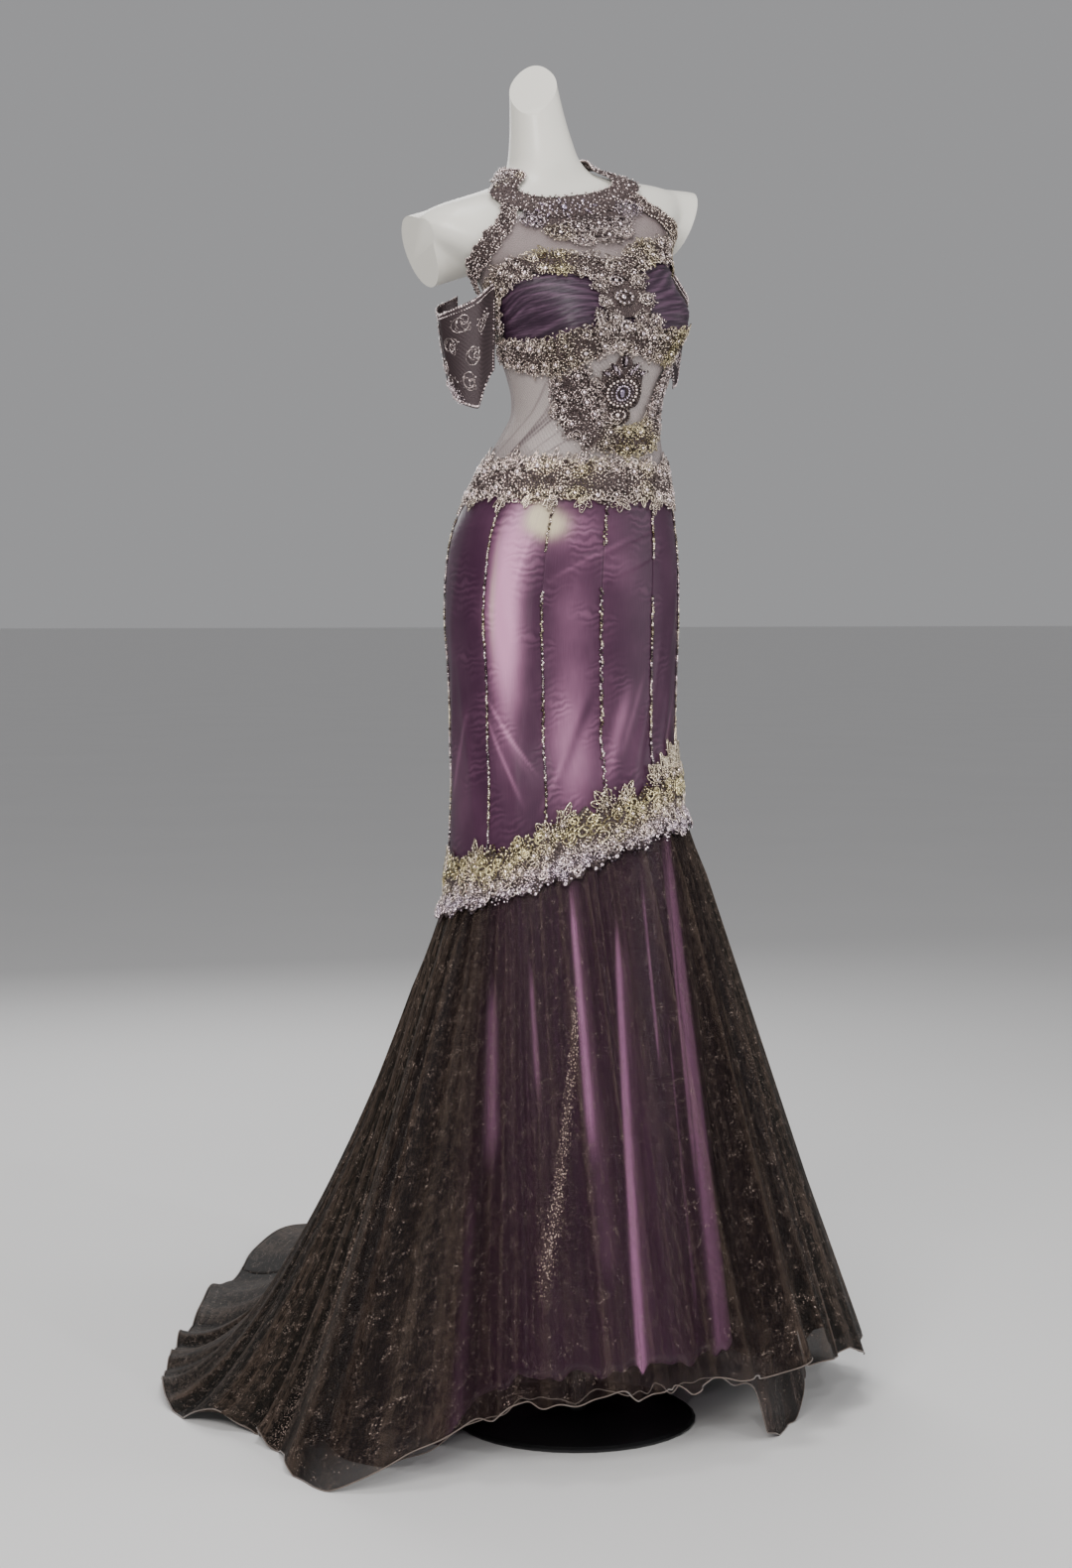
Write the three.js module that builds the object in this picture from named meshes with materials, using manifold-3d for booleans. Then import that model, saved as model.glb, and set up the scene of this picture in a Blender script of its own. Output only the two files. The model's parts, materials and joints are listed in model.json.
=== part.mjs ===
// An evening gown of purple satin and organza with a beaded halter bodice and a chapel train,
// on a limbless dress form with a round stand.
//
// Millimetres, +Z up. The origin is the centre of the stand's underside, on the floor. The front
// of the gown faces -Y and the wearer's left is +X. A turn is an angle in degrees about Z, from
// the centre front (-Y) towards +X. A lift is a distance out from the dress form's surface.
import * as THREE from 'three';
import { mergeVertices } from 'three/addons/utils/BufferGeometryUtils.js';
import Module from 'manifold-3d';

const wasm = await Module();
wasm.setup();

// Driving dimensions
const WALL = 1.2; // thickness of one layer of cloth
const SEAM = 0.3; // gap between two pieces where they are sewn together
const CLOTH_LIFT = 1.8; // inner face of the bodice and hip cloth
const TRIM_LIFT = 4.3; // inner face of the beaded trims that lie on the ruched cups and the net
const BAND_LIFT = 3.7; // inner face of the collar and the waist band
const FORM_EASE = 1.6; // how far the form itself is drawn in, so that the cloth clears it
const JOIN_GAP = 0.8; // gap between the hip pieces and the flared layers, under the knee band
const MOTIF_REST = 0.6; // gap between a jewel and the band that it sits on
const WAIST_SEAM = 1158; // height of the waist seam
const FORM_BOTTOM = 790; // height of the form's lower end
const BASE_RADIUS = 150;
const BASE_HEIGHT = 12;
const POLE_RADIUS = 13;
const SOCKET_RADIUS = 26;
const SOCKET_HEIGHT = 46;
const HEM_REST = 0.3; // clearance of the resting hems over the floor

// The dress form: a superellipse at each height. side and depth place its centre, roll lifts the
// wearer's left side, yaw turns it, half is its half width, front and back its half depths.
const ROUNDNESS = 2.25;
const FORM = table('height side depth roll yaw half front back', [
  [640, -7, 16, 0, -4, 145, 107, 107],
  [700, -6, 16, 0, -4, 143, 106, 106],
  [790, -5, 15, 0, -4, 141, 104, 105],
  [854, -7, 18, 0, -4, 139, 102, 104],
  [927, -7, 18, 0, -4, 140.5, 102, 107],
  [1000, -8, 18, 0, -4, 144, 103, 112],
  [1049, -8, 17, 0, -3, 143, 103, 112],
  [1098, -8, 14, 0, -2, 138, 101, 104],
  [1146, -4, 8, 0, 0, 125, 94, 92],
  [1195, 0, -2, 0, 2, 107, 83, 78],
  [1220, 2, -8, 0, 3, 97, 77, 72],
  [1244, 3, -13, 1, 4, 90, 73, 68],
  [1268, 4, -15, 2, 5, 92, 75, 70],
  [1293, 5, -16, 3, 5, 99, 80, 76],
  [1329, 5, -15, 4.5, 5, 109, 84, 84],
  [1366, 4, -11, 6, 5, 116, 86, 88],
  [1402, 0, 2, 7, 5, 122, 86, 84],
  [1430, -4, 13, 8, 5, 134, 80, 74],
  [1450, -8, 20, 8.5, 5, 156, 74, 66],
  [1472, -12, 27, 8.5, 5, 184, 66, 58],
  [1495, -16, 33, 8.5, 5, 192, 57, 50],
  [1512, -19, 37, 8.5, 5, 168, 50, 46],
  [1522, -21, 39, 8.5, 5, 116, 47, 46],
  [1530, -22, 40, 8.5, 5, 74, 46, 46],
  [1545, -24, 40, 8.5, 5, 50, 45, 44],
  [1570, -27, 40, 8.5, 5, 40, 40, 40],
  [1610, -33, 40, 8.5, 5, 33, 35, 35],
  [1700, -46, 40, 8.5, 5, 27, 28, 28],
]);
const BUST = { height: 1350, turn: 34, rise: 27, wide: 21, tall: 36 };
const NECK_CUT = { point: [-39, 40, 1647], normal: [0, -0.743, 0.669] };
// Each arm stump is a short taper from inside the shoulder to its flat cut.
const ARM_STUMPS = [
  { root: [-92, 48, 1466], end: [-187, 52, 1436], rootRadius: 44, endRadius: 45 },
  { root: [84, 50, 1492], end: [181, 54, 1492], rootRadius: 44, endRadius: 43 },
];
const STUMP_DEPTH = 0.8; // a stump's depth beside its height
const STUMP_CUT = 22; // degrees by which the cut leans out at its top

// The knee join, where the hip pieces end and the flared layers begin, is a slanted plane.
const JOIN = { height: 702, perX: 0.342, perY: -0.18 };
const HIP_SEAMS = [-180, -145, -110, -62, -28, 0, 28, 62, 110, 145, 180];

// The flared layers at the hem, by turn: how far out the hem lies, its height, and the sweep,
// the power by which the drop slackens on its way out (1 is a straight cone).
const HEM_COLUMNS = 'turn reach rise sweep';
const OUTER_HEM = table(HEM_COLUMNS, [
  [-174, 890, 0, 1.9],
  [-164, 757, 0, 1.9],
  [-147, 622, 0, 1.85],
  [-132, 560, 0, 1.7],
  [-119, 505, 0, 1.5],
  [-106, 402, 0, 1.3],
  [-92, 400, 0, 1.15],
  [-74, 425, 0, 1],
  [-64, 356, 38, 1],
  [-52, 292, 76, 1],
  [-30, 279, 95, 1],
  [0, 270, 100, 1],
  [30, 282, 95, 1],
  [55, 322, 84, 1],
  [74, 384, 62, 1],
  [88, 422, 46, 1.02],
  [104, 452, 18, 1.15],
  [120, 495, 0, 1.35],
  [135, 575, 0, 1.6],
  [150, 740, 0, 1.8],
  [162, 950, 0, 1.9],
  [174, 1118, 0, 1.9],
]);
const UNDER_HEM = table(HEM_COLUMNS, [
  [-176, 560, 0, 1.8],
  [-150, 470, 0, 1.7],
  [-120, 385, 0, 1.4],
  [-100, 340, 0, 1.2],
  [-82, 322, 0, 1.05],
  [-66, 285, 30, 1],
  [-50, 246, 78, 1],
  [-25, 232, 92, 1],
  [0, 228, 94, 1],
  [24, 232, 88, 1],
  [36, 244, 34, 1],
  [44, 262, 0, 1],
  [54, 272, 0, 1],
  [64, 284, 40, 1],
  [82, 320, 46, 1],
  [100, 348, 14, 1.1],
  [122, 385, 0, 1.35],
  [150, 470, 0, 1.7],
]);
const LINING_HEM = table(HEM_COLUMNS, [
  [-178, 330, 0, 1.5],
  [-150, 292, 0, 1.4],
  [-120, 246, 0, 1.2],
  [-100, 226, 0, 1.05],
  [-92, 214, 26, 1],
  [-84, 204, 0, 1],
  [-74, 196, 44, 1],
  [-58, 188, 88, 1],
  [-30, 184, 104, 1],
  [0, 183, 108, 1],
  [30, 186, 104, 1],
  [60, 196, 92, 1],
  [90, 218, 62, 1],
  [120, 246, 20, 1.2],
  [150, 292, 0, 1.4],
]);
// flutes is the number of folds round the hem, depth their height at the hem, gather their
// height at the join, steps the columns to a flute, rows the bands from hem to join.
const LAYERS = {
  organza_outer: {
    hem: OUTER_HEM, lift: 5.6, flutes: 24, depth: 30, gather: 1.6, steps: 4, rows: 6, panels: 6,
  },
  organza_under: {
    hem: UNDER_HEM, lift: 3.7, flutes: 14, depth: 15, gather: 0.2, steps: 4, rows: 5, panels: 4,
  },
  satin_lining: {
    hem: LINING_HEM, lift: 1.8, flutes: 10, depth: 11, gather: 0, steps: 4, rows: 4, panels: 4,
  },
};

// Edges of the bodice pieces: heights by turn
const COLLAR_EDGE = table('turn low high', [
  [-180, 1533, 1558],
  [-90, 1529, 1542],
  [-60, 1522, 1536],
  [-37, 1509, 1525],
  [-25, 1493, 1513],
  [-6, 1475, 1501],
  [10, 1479, 1504],
  [28, 1497, 1516],
  [42, 1513, 1528],
  [62, 1523, 1537],
  [90, 1529, 1542],
  [180, 1533, 1558],
]);
const YOKE_TOP = table('turn height', [
  [-100, 1419],
  [-84, 1436],
  [-64, 1450],
  [-42, 1469],
  [-30, 1484],
  [-6, 1478],
  [10, 1482],
  [22, 1486],
  [40, 1462],
  [60, 1448],
  [82, 1440],
  [100, 1424],
]);
const SWEETHEART = table('turn height', [
  [-100, 1392],
  [-84, 1407],
  [-66, 1424],
  [-44, 1430],
  [-20, 1426],
  [-2, 1408],
  [16, 1426],
  [40, 1434],
  [62, 1432],
  [84, 1416],
  [100, 1398],
]);
const UNDERBUST = table('turn height', [
  [-180, 1330],
  [-100, 1326],
  [-80, 1316],
  [-55, 1314],
  [-29, 1326],
  [-6, 1330],
  [14, 1322],
  [36, 1320],
  [62, 1324],
  [100, 1334],
  [180, 1330],
]);
const BACK_TOP = table('turn height', [
  [100, 1396],
  [130, 1384],
  [180, 1374],
  [230, 1384],
  [260, 1392],
]);

// Routes of the beaded trims on the bodice: turn, height and half width
const ROUTE_COLUMNS = 'turn height half';
const ROUTES = {
  strap_right: table(ROUTE_COLUMNS, [
    [-31, 1483, 8],
    [-43, 1467, 8],
    [-62, 1451, 8],
    [-82, 1438, 8],
    [-99, 1422, 8.5],
    [-106, 1404, 9],
  ]),
  strap_left: table(ROUTE_COLUMNS, [
    [23, 1486, 8],
    [40, 1463, 8],
    [61, 1447, 8],
    [80, 1436, 8],
    [94, 1420, 8],
    [99, 1404, 8],
  ]),
  border_right: table(ROUTE_COLUMNS, [
    [-96, 1347, 8],
    [-95, 1374, 8.5],
    [-86, 1399, 10],
    [-66, 1418, 11],
    [-44, 1424, 12],
    [-20, 1421, 13],
    [-5, 1411, 12],
  ]),
  border_left: table(ROUTE_COLUMNS, [
    [2, 1411, 12],
    [18, 1423, 13],
    [40, 1429, 12],
    [62, 1424, 11],
    [84, 1404, 10],
    [95, 1380, 8.5],
    [96, 1355, 8],
  ]),
  underbust_band: table(ROUTE_COLUMNS, [
    [-106, 1330, 13],
    [-80, 1316, 16],
    [-55, 1314, 17],
    [-29, 1328, 16],
    [-6, 1332, 14],
    [14, 1324, 15],
    [36, 1321, 16],
    [62, 1326, 15],
    [106, 1338, 13],
  ]),
  midriff_garland: table(ROUTE_COLUMNS, [
    [-47, 1292, 15],
    [-39, 1264, 17],
    [-27, 1236, 15],
    [-12, 1216, 13],
    [6, 1209, 12],
    [24, 1217, 13],
    [38, 1240, 14],
    [45, 1268, 14],
    [46, 1299, 13],
  ]),
};
const WAIST_BAND = { height: 1160, half: 27, scallops: 20, scallop: 4, thick: 3.4, relief: 3 };
const KNEE_BAND = { below: 20, above: 72, scallops: 22, scallop: 7, thick: 4.5, relief: 5.5 };

// The off-shoulder sleeves: a free wall round the missing arm, from its front edge to its back
// edge. upper and lower give its two edges; the outside is the row in the middle.
const SLEEVE = table('along x y upper lower', [
  [0, -124.7, -24, 1379, 1292],
  [0.2, -148, -22, 1374, 1246],
  [0.5, -180, 12, 1358, 1262],
  [0.8, -152, 62, 1376, 1284],
  [1, -127, 68, 1388, 1322],
]);
const SLEEVE_TIP_PULL = 0.42; // how far the lower edge draws in towards the arm's middle
const SLEEVE_MIDDLE = { x: -134, y: 14 };
const LEFT_SLEEVE = { rise: 36, back: 24, slim: 0.86, start: 129.8 };

const COLOURS = {
  form: [0xe1ded4, 0.42, 0],
  steel: [0x2a2a2c, 0.38, 0.8],
  net: [0xa39aa6, 0.7, 0],
  chiffon: [0x4a3350, 0.5, 0],
  satin: [0x8d6f93, 0.34, 0],
  lining: [0xa06a94, 0.3, 0],
  organza: [0x5d4f4c, 0.45, 0],
  beads: [0xb9aea2, 0.3, 0.55],
  jewel: [0xa79cc0, 0.15, 0.3],
};

// A table keeps its rows with named columns, sorted by the first one.
function table(columns, rows) {
  const names = columns.split(' ');
  return rows.map((row) => Object.fromEntries(names.map((name, i) => [name, row[i]])));
}

// Value of one column at x, on a smooth curve that never passes beyond its rows.
function read(rows, key, name, x) {
  const last = rows.length - 1;
  if (x <= rows[0][key]) return rows[0][name];
  if (x >= rows[last][key]) return rows[last][name];
  let i = 0;
  while (rows[i + 1][key] < x) i += 1;
  const step = (k) => (rows[k + 1][name] - rows[k][name]) / (rows[k + 1][key] - rows[k][key]);
  const slope = (k) => {
    if (k === 0 || k === last) return step(Math.min(k, last - 1));
    const before = step(k - 1);
    const after = step(k);
    if (before * after <= 0) return 0;
    return Math.sign(before) * Math.min(Math.abs(before + after) / 2, 3 * Math.abs(before),
      3 * Math.abs(after));
  };
  const span = rows[i + 1][key] - rows[i][key];
  const t = (x - rows[i][key]) / span;
  return rows[i][name] * (2 * t ** 3 - 3 * t ** 2 + 1)
    + slope(i) * span * (t ** 3 - 2 * t ** 2 + t)
    + rows[i + 1][name] * (3 * t ** 2 - 2 * t ** 3)
    + slope(i + 1) * span * (t ** 3 - t ** 2);
}

// The same for a hem table, which runs once round and closes on itself.
function readRound(rows, name, turn) {
  const first = rows[0].turn;
  const wrapped = ((turn - first) % 360 + 360) % 360 + first;
  const shift = (row, by) => ({ ...row, turn: row.turn + by });
  const round = [shift(rows.at(-1), -360), ...rows, shift(rows[0], 360), shift(rows[1], 360)];
  return read(round, 'turn', name, wrapped);
}

const radians = THREE.MathUtils.degToRad;
const lerp = THREE.MathUtils.lerp;

// A point of the dress form's surface.
function formPoint(turn, height) {
  const at = (name) => read(FORM, 'height', name, height);
  const s = Math.sin(radians(turn));
  const c = Math.cos(radians(turn));
  const depth = c > 0 ? at('front') : at('back');
  let bump = 0;
  for (const side of [-1, 1]) {
    const across = (turn - side * BUST.turn) / BUST.wide;
    const up = (height - BUST.height) / BUST.tall;
    bump += BUST.rise * Math.exp(-across * across - up * up);
  }
  const x = Math.sign(s) * Math.abs(s) ** (2 / ROUNDNESS) * at('half') + bump * s * 0.8;
  const y = -Math.sign(c) * Math.abs(c) ** (2 / ROUNDNESS) * depth - bump * c;
  const yaw = radians(at('yaw'));
  const roll = radians(at('roll'));
  const across = x * Math.cos(yaw) - y * Math.sin(yaw);
  return new THREE.Vector3(
    at('side') + across * Math.cos(roll),
    at('depth') + x * Math.sin(yaw) + y * Math.cos(yaw),
    height + across * Math.sin(roll),
  );
}

// A point moved out from a surface, along its normal. surface(u, v) has u to the left of v as
// seen from outside, and du and dv are steps small beside its features.
function movedOut(surface, u, v, du, dv, lift) {
  const along = surface(u + du, v).sub(surface(u - du, v));
  const up = surface(u, v + dv).sub(surface(u, v - dv));
  return surface(u, v).addScaledVector(along.cross(up).normalize(), lift);
}

const TURN_STEP = 2;
const HEIGHT_STEP = 3;
function onForm(turn, height, lift) {
  return movedOut(formPoint, wrapTurn(turn), height, TURN_STEP, HEIGHT_STEP, lift);
}

function wrapTurn(turn) {
  return turn > 180 ? turn - 360 : turn;
}

// Distance from the form's centre line, to change millimetres round it into degrees.
function radiusAt(turn, height) {
  const p = formPoint(wrapTurn(turn), height);
  return Math.hypot(p.x - read(FORM, 'height', 'side', height),
    p.y - read(FORM, 'height', 'depth', height));
}

const degreesFor = (distance, radius) => THREE.MathUtils.radToDeg(distance / radius);

// A closed wall between an outer and an inner grid of points. point(i, j, outside) gives them,
// with i running to the left of j as seen from outside. A round wall closes on itself along i.
function wallGeometry(cols, rows, point, round = false) {
  const across = round ? cols : cols + 1;
  const positions = [];
  const faces = [];
  for (const outside of [true, false]) {
    for (let j = 0; j <= rows; j += 1) {
      for (let i = 0; i < across; i += 1) positions.push(...point(i, j, outside).toArray());
    }
  }
  const inner = across * (rows + 1);
  const id = (i, j) => j * across + (round ? i % cols : i);
  for (let j = 0; j < rows; j += 1) {
    for (let i = 0; i < cols; i += 1) {
      const [a, b, c, d] = [id(i, j), id(i + 1, j), id(i + 1, j + 1), id(i, j + 1)];
      faces.push(a, b, c, a, c, d);
      faces.push(a + inner, c + inner, b + inner, a + inner, d + inner, c + inner);
    }
  }
  const rim = (a, b) => faces.push(b, a, a + inner, b, a + inner, b + inner);
  for (let i = 0; i < cols; i += 1) {
    rim(id(i, 0), id(i + 1, 0));
    rim(id(i + 1, rows), id(i, rows));
  }
  for (let j = 0; j < rows && !round; j += 1) {
    rim(id(cols, j), id(cols, j + 1));
    rim(id(0, j + 1), id(0, j));
  }
  const geometry = new THREE.BufferGeometry();
  geometry.setAttribute('position', new THREE.Float32BufferAttribute(positions, 3));
  geometry.setIndex(faces);
  return geometry;
}

// A closed surface through rings of points, with a middle point at each end.
function ringsGeometry(rings, bottom, top) {
  const count = rings[0].length;
  const positions = [bottom, ...rings.flat(), top].flatMap((p) => p.toArray());
  const faces = [];
  const id = (ring, i) => 1 + ring * count + (i % count);
  const apex = 1 + rings.length * count;
  for (let i = 0; i < count; i += 1) {
    faces.push(0, id(0, i + 1), id(0, i));
    faces.push(apex, id(rings.length - 1, i), id(rings.length - 1, i + 1));
    for (let ring = 0; ring < rings.length - 1; ring += 1) {
      faces.push(id(ring, i), id(ring, i + 1), id(ring + 1, i + 1));
      faces.push(id(ring, i), id(ring + 1, i + 1), id(ring + 1, i));
    }
  }
  const geometry = new THREE.BufferGeometry();
  geometry.setAttribute('position', new THREE.Float32BufferAttribute(positions, 3));
  geometry.setIndex(faces);
  return geometry;
}

const gown = new THREE.Group();

function addPiece(name, geometry, colour, position = [0, 0, 0]) {
  const [color, roughness, metalness] = COLOURS[colour];
  const material = new THREE.MeshStandardMaterial({ color, roughness, metalness });
  const mesh = new THREE.Mesh(geometry, material);
  mesh.name = name;
  mesh.position.set(...position);
  gown.add(mesh);
}

// Closed solids for joining and cutting
function solidOf(geometry) {
  const bare = geometry.clone();
  bare.deleteAttribute('normal');
  bare.deleteAttribute('uv');
  const merged = mergeVertices(bare, 1e-4);
  return new wasm.Manifold(new wasm.Mesh({
    numProp: 3,
    vertProperties: new Float32Array(merged.attributes.position.array),
    triVerts: new Uint32Array(merged.index.array),
  }));
}

function geometryOf(solid) {
  const mesh = solid.getMesh();
  const geometry = new THREE.BufferGeometry();
  geometry.setAttribute('position', new THREE.Float32BufferAttribute(mesh.vertProperties, 3));
  geometry.setIndex(Array.from(mesh.triVerts));
  return geometry;
}

// A block that fills the half space beyond a plane.
function beyondPlane(point, normal, size = 400) {
  const block = new THREE.BoxGeometry(size, size, size);
  block.translate(0, 0, size / 2);
  const up = new THREE.Vector3(0, 0, 1);
  const turned = new THREE.Quaternion().setFromUnitVectors(up, new THREE.Vector3(...normal).normalize());
  block.applyQuaternion(turned);
  block.translate(...point);
  return solidOf(block);
}

function stumpSolid({ root, end, rootRadius, endRadius }) {
  const from = new THREE.Vector3(...root);
  const to = new THREE.Vector3(...end);
  const overrun = 1.25; // past the cut, which then trims it flat
  const length = from.distanceTo(to) * overrun;
  const taper = new THREE.CylinderGeometry(endRadius, rootRadius, length, 22);
  taper.translate(0, length / 2, 0);
  const along = to.clone().sub(from).normalize();
  taper.applyQuaternion(new THREE.Quaternion().setFromUnitVectors(new THREE.Vector3(0, 1, 0), along));
  taper.scale(1, STUMP_DEPTH, 1);
  taper.translate(...root);
  return solidOf(taper);
}

// The dress form
const FORM_SIDES = 30;
const FORM_RINGS = [802, 900, 1000, 1060, 1110, 1155, 1195, 1228, 1260, 1293, 1326, 1350, 1376, 1402,
  1430, 1452, 1474, 1496, 1512, 1524, 1534, 1550, 1580, 1630, 1700];
const BOTTOM_ROUND = 0.93; // the lowest ring's size beside the one above it

function buildForm() {
  const ringAt = (height, scale = 1, raise = 0) => Array.from({ length: FORM_SIDES }, (_, i) => {
    const p = onForm((360 / FORM_SIDES) * i, height, -FORM_EASE);
    const middle = new THREE.Vector3(
      read(FORM, 'height', 'side', height),
      read(FORM, 'height', 'depth', height),
      p.z,
    );
    return middle.lerp(p, scale).setZ(p.z + raise);
  });
  const first = FORM_RINGS[0];
  const rings = [ringAt(first, BOTTOM_ROUND, FORM_BOTTOM - first), ...FORM_RINGS.map((h) => ringAt(h))];
  const centre = (height) => new THREE.Vector3(
    read(FORM, 'height', 'side', height),
    read(FORM, 'height', 'depth', height),
    height,
  );
  const top = FORM_RINGS.at(-1);
  let solid = solidOf(ringsGeometry(rings, centre(first).setZ(FORM_BOTTOM), centre(top)));
  for (const stump of ARM_STUMPS) {
    const side = Math.sign(stump.end[0]);
    const lean = radians(STUMP_CUT);
    const normal = [side * Math.cos(lean), 0, -Math.sin(lean)];
    solid = solid.add(stumpSolid(stump)).subtract(beyondPlane(stump.end, normal));
  }
  solid = solid.subtract(beyondPlane(NECK_CUT.point, NECK_CUT.normal));
  addPiece('form_torso', geometryOf(solid), 'form');
}

// The stand: a round base, a pole and the socket under the form
function buildStand() {
  const edge = 4;
  const plate = new THREE.LatheGeometry([
    new THREE.Vector2(0, 0),
    new THREE.Vector2(BASE_RADIUS - 2, 0),
    new THREE.Vector2(BASE_RADIUS, 2),
    new THREE.Vector2(BASE_RADIUS, edge),
    new THREE.Vector2(BASE_RADIUS - edge, edge + 3),
    new THREE.Vector2(POLE_RADIUS * 2, BASE_HEIGHT),
    new THREE.Vector2(0, BASE_HEIGHT),
  ], 36);
  addPiece('stand_base', plate.rotateX(Math.PI / 2), 'steel');
  const poleBottom = BASE_HEIGHT + SEAM;
  const poleTop = FORM_BOTTOM - SEAM;
  const pole = new THREE.CylinderGeometry(POLE_RADIUS, POLE_RADIUS, poleTop - poleBottom, 24);
  addPiece('stand_pole', pole.rotateX(Math.PI / 2), 'steel', [0, 0, (poleTop + poleBottom) / 2]);
  const bore = POLE_RADIUS + SEAM;
  const socket = new THREE.LatheGeometry([
    new THREE.Vector2(bore, 0),
    new THREE.Vector2(SOCKET_RADIUS - 4, 0),
    new THREE.Vector2(SOCKET_RADIUS, 4),
    new THREE.Vector2(SOCKET_RADIUS, SOCKET_HEIGHT),
    new THREE.Vector2(bore, SOCKET_HEIGHT),
    new THREE.Vector2(bore, 0),
  ], 20);
  addPiece('stand_socket', socket.rotateX(Math.PI / 2), 'steel', [0, 0, poleTop - SOCKET_HEIGHT]);
}

// A wall on the form between two turns, from a lower to an upper edge.
function panelOnForm({ from, to, low, high, cols, rows, lift = CLOTH_LIFT, thick = WALL,
  relief = () => 0 }) {
  return wallGeometry(cols, rows, (i, j, outside) => {
    const u = i / cols;
    const v = j / rows;
    const plain = lerp(from, to, u);
    const height = lerp(low(plain), high(plain), v);
    const inset = degreesFor(SEAM / 2, radiusAt(plain, height));
    const turn = plain + (i === 0 ? inset : 0) - (i === cols ? inset : 0);
    return onForm(turn, height, outside ? lift + thick + relief(u, v) : lift);
  });
}

// The height of the knee join at a turn, on the cloth's inner face.
function joinHeight(turn) {
  let height = JOIN.height;
  for (let round = 0; round < 6; round += 1) {
    const p = onForm(turn, height, CLOTH_LIFT);
    height = JOIN.height + JOIN.perX * p.x + JOIN.perY * p.y;
  }
  return height;
}

function buildHips() {
  const degreesPerColumn = 14;
  HIP_SEAMS.slice(0, -1).forEach((from, k) => {
    const to = HIP_SEAMS[k + 1];
    const side = from < 0 ? 'right' : 'left';
    const place = from < 0 ? 5 - k : k - 4;
    addPiece(`hip_gore_${side}_${place}`, panelOnForm({
      from,
      to,
      low: (turn) => joinHeight(turn) + JOIN_GAP / 2,
      high: () => WAIST_SEAM - SEAM / 2,
      cols: Math.ceil((to - from) / degreesPerColumn),
      rows: 8,
    }), 'satin');
  });
}

function buildBodice() {
  const edge = (rows, name = 'height') => (turn) => read(rows, 'turn', name, turn);
  const waist = () => WAIST_SEAM + SEAM / 2;
  const above = (curve) => (turn) => curve(turn) + SEAM / 2;
  const below = (curve) => (turn) => curve(turn) - SEAM / 2;
  const underbust = edge(UNDERBUST);
  const sweetheart = edge(SWEETHEART);
  addPiece('midriff_net', panelOnForm({
    from: -100, to: 100, low: waist, high: below(underbust), cols: 18, rows: 7,
  }), 'net');
  for (const [side, from, to] of [['left', 100, 180], ['right', 180, 260]]) {
    const back = edge(BACK_TOP);
    addPiece(`back_net_${side}`, panelOnForm({ from, to, low: waist, high: back, cols: 6, rows: 7 }), 'net');
  }
  // The chiffon lies over each cup in small ridges that fan from the centre front.
  const ridges = 6;
  const fade = (x) => THREE.MathUtils.smoothstep(Math.min(x, 1 - x), 0.1, 0.26);
  const ruche = (slant) => (u, v) => {
    const across = slant > 0 ? u : 1 - u;
    const ridge = 0.5 - 0.5 * Math.cos(2 * Math.PI * (ridges * v + 0.9 * across * across));
    return 2 * ridge * fade(u) * fade(v);
  };
  for (const [side, from, to, slant] of [['right', -100, 0, 1], ['left', 0, 100, -1]]) {
    addPiece(`bust_cup_${side}`, panelOnForm({
      from, to, low: above(underbust), high: below(sweetheart), cols: 9, rows: 12, relief: ruche(slant),
    }), 'chiffon');
  }
  addPiece('yoke_net', panelOnForm({
    from: -100, to: 100, low: above(sweetheart), high: edge(YOKE_TOP), cols: 18, rows: 3,
  }), 'net');
}

// A beaded trim along a route on the form. Its edges are scalloped, and its outer face rises to
// one motif in each scallop over a plain inside.
function trimOnForm(route, { scallops, scallop, thick = 2.2, relief = 2.4, lift = TRIM_LIFT,
  perScallop = 3, across = 3 }) {
  const steps = scallops * perScallop;
  const at = (s) => {
    const index = s * (route.length - 1);
    const keyed = route.map((row, k) => ({ ...row, key: k }));
    return ['turn', 'height', 'half'].map((name) => read(keyed, 'key', name, index));
  };
  return wallGeometry(steps, across, (i, j, outside) => {
    const s = i / steps;
    const [turn, height, half] = at(s);
    const [turnA, heightA] = at(Math.max(0, s - 0.01));
    const [turnB, heightB] = at(Math.min(1, s + 0.01));
    const radius = radiusAt(turn, height);
    const along = new THREE.Vector2(radians(turnB - turnA) * radius, heightB - heightA).normalize();
    const wave = 0.5 - 0.5 * Math.cos(2 * Math.PI * scallops * s);
    const side = (2 * j) / across - 1;
    const offset = side * (half - scallop * (1 - wave));
    const crown = (1 - side * side) * (0.35 + 0.65 * wave) + 0.12;
    return onForm(
      turn - degreesFor(along.y * offset, radius),
      height + along.x * offset,
      outside ? lift + thick + relief * crown : lift,
    );
  });
}

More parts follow.
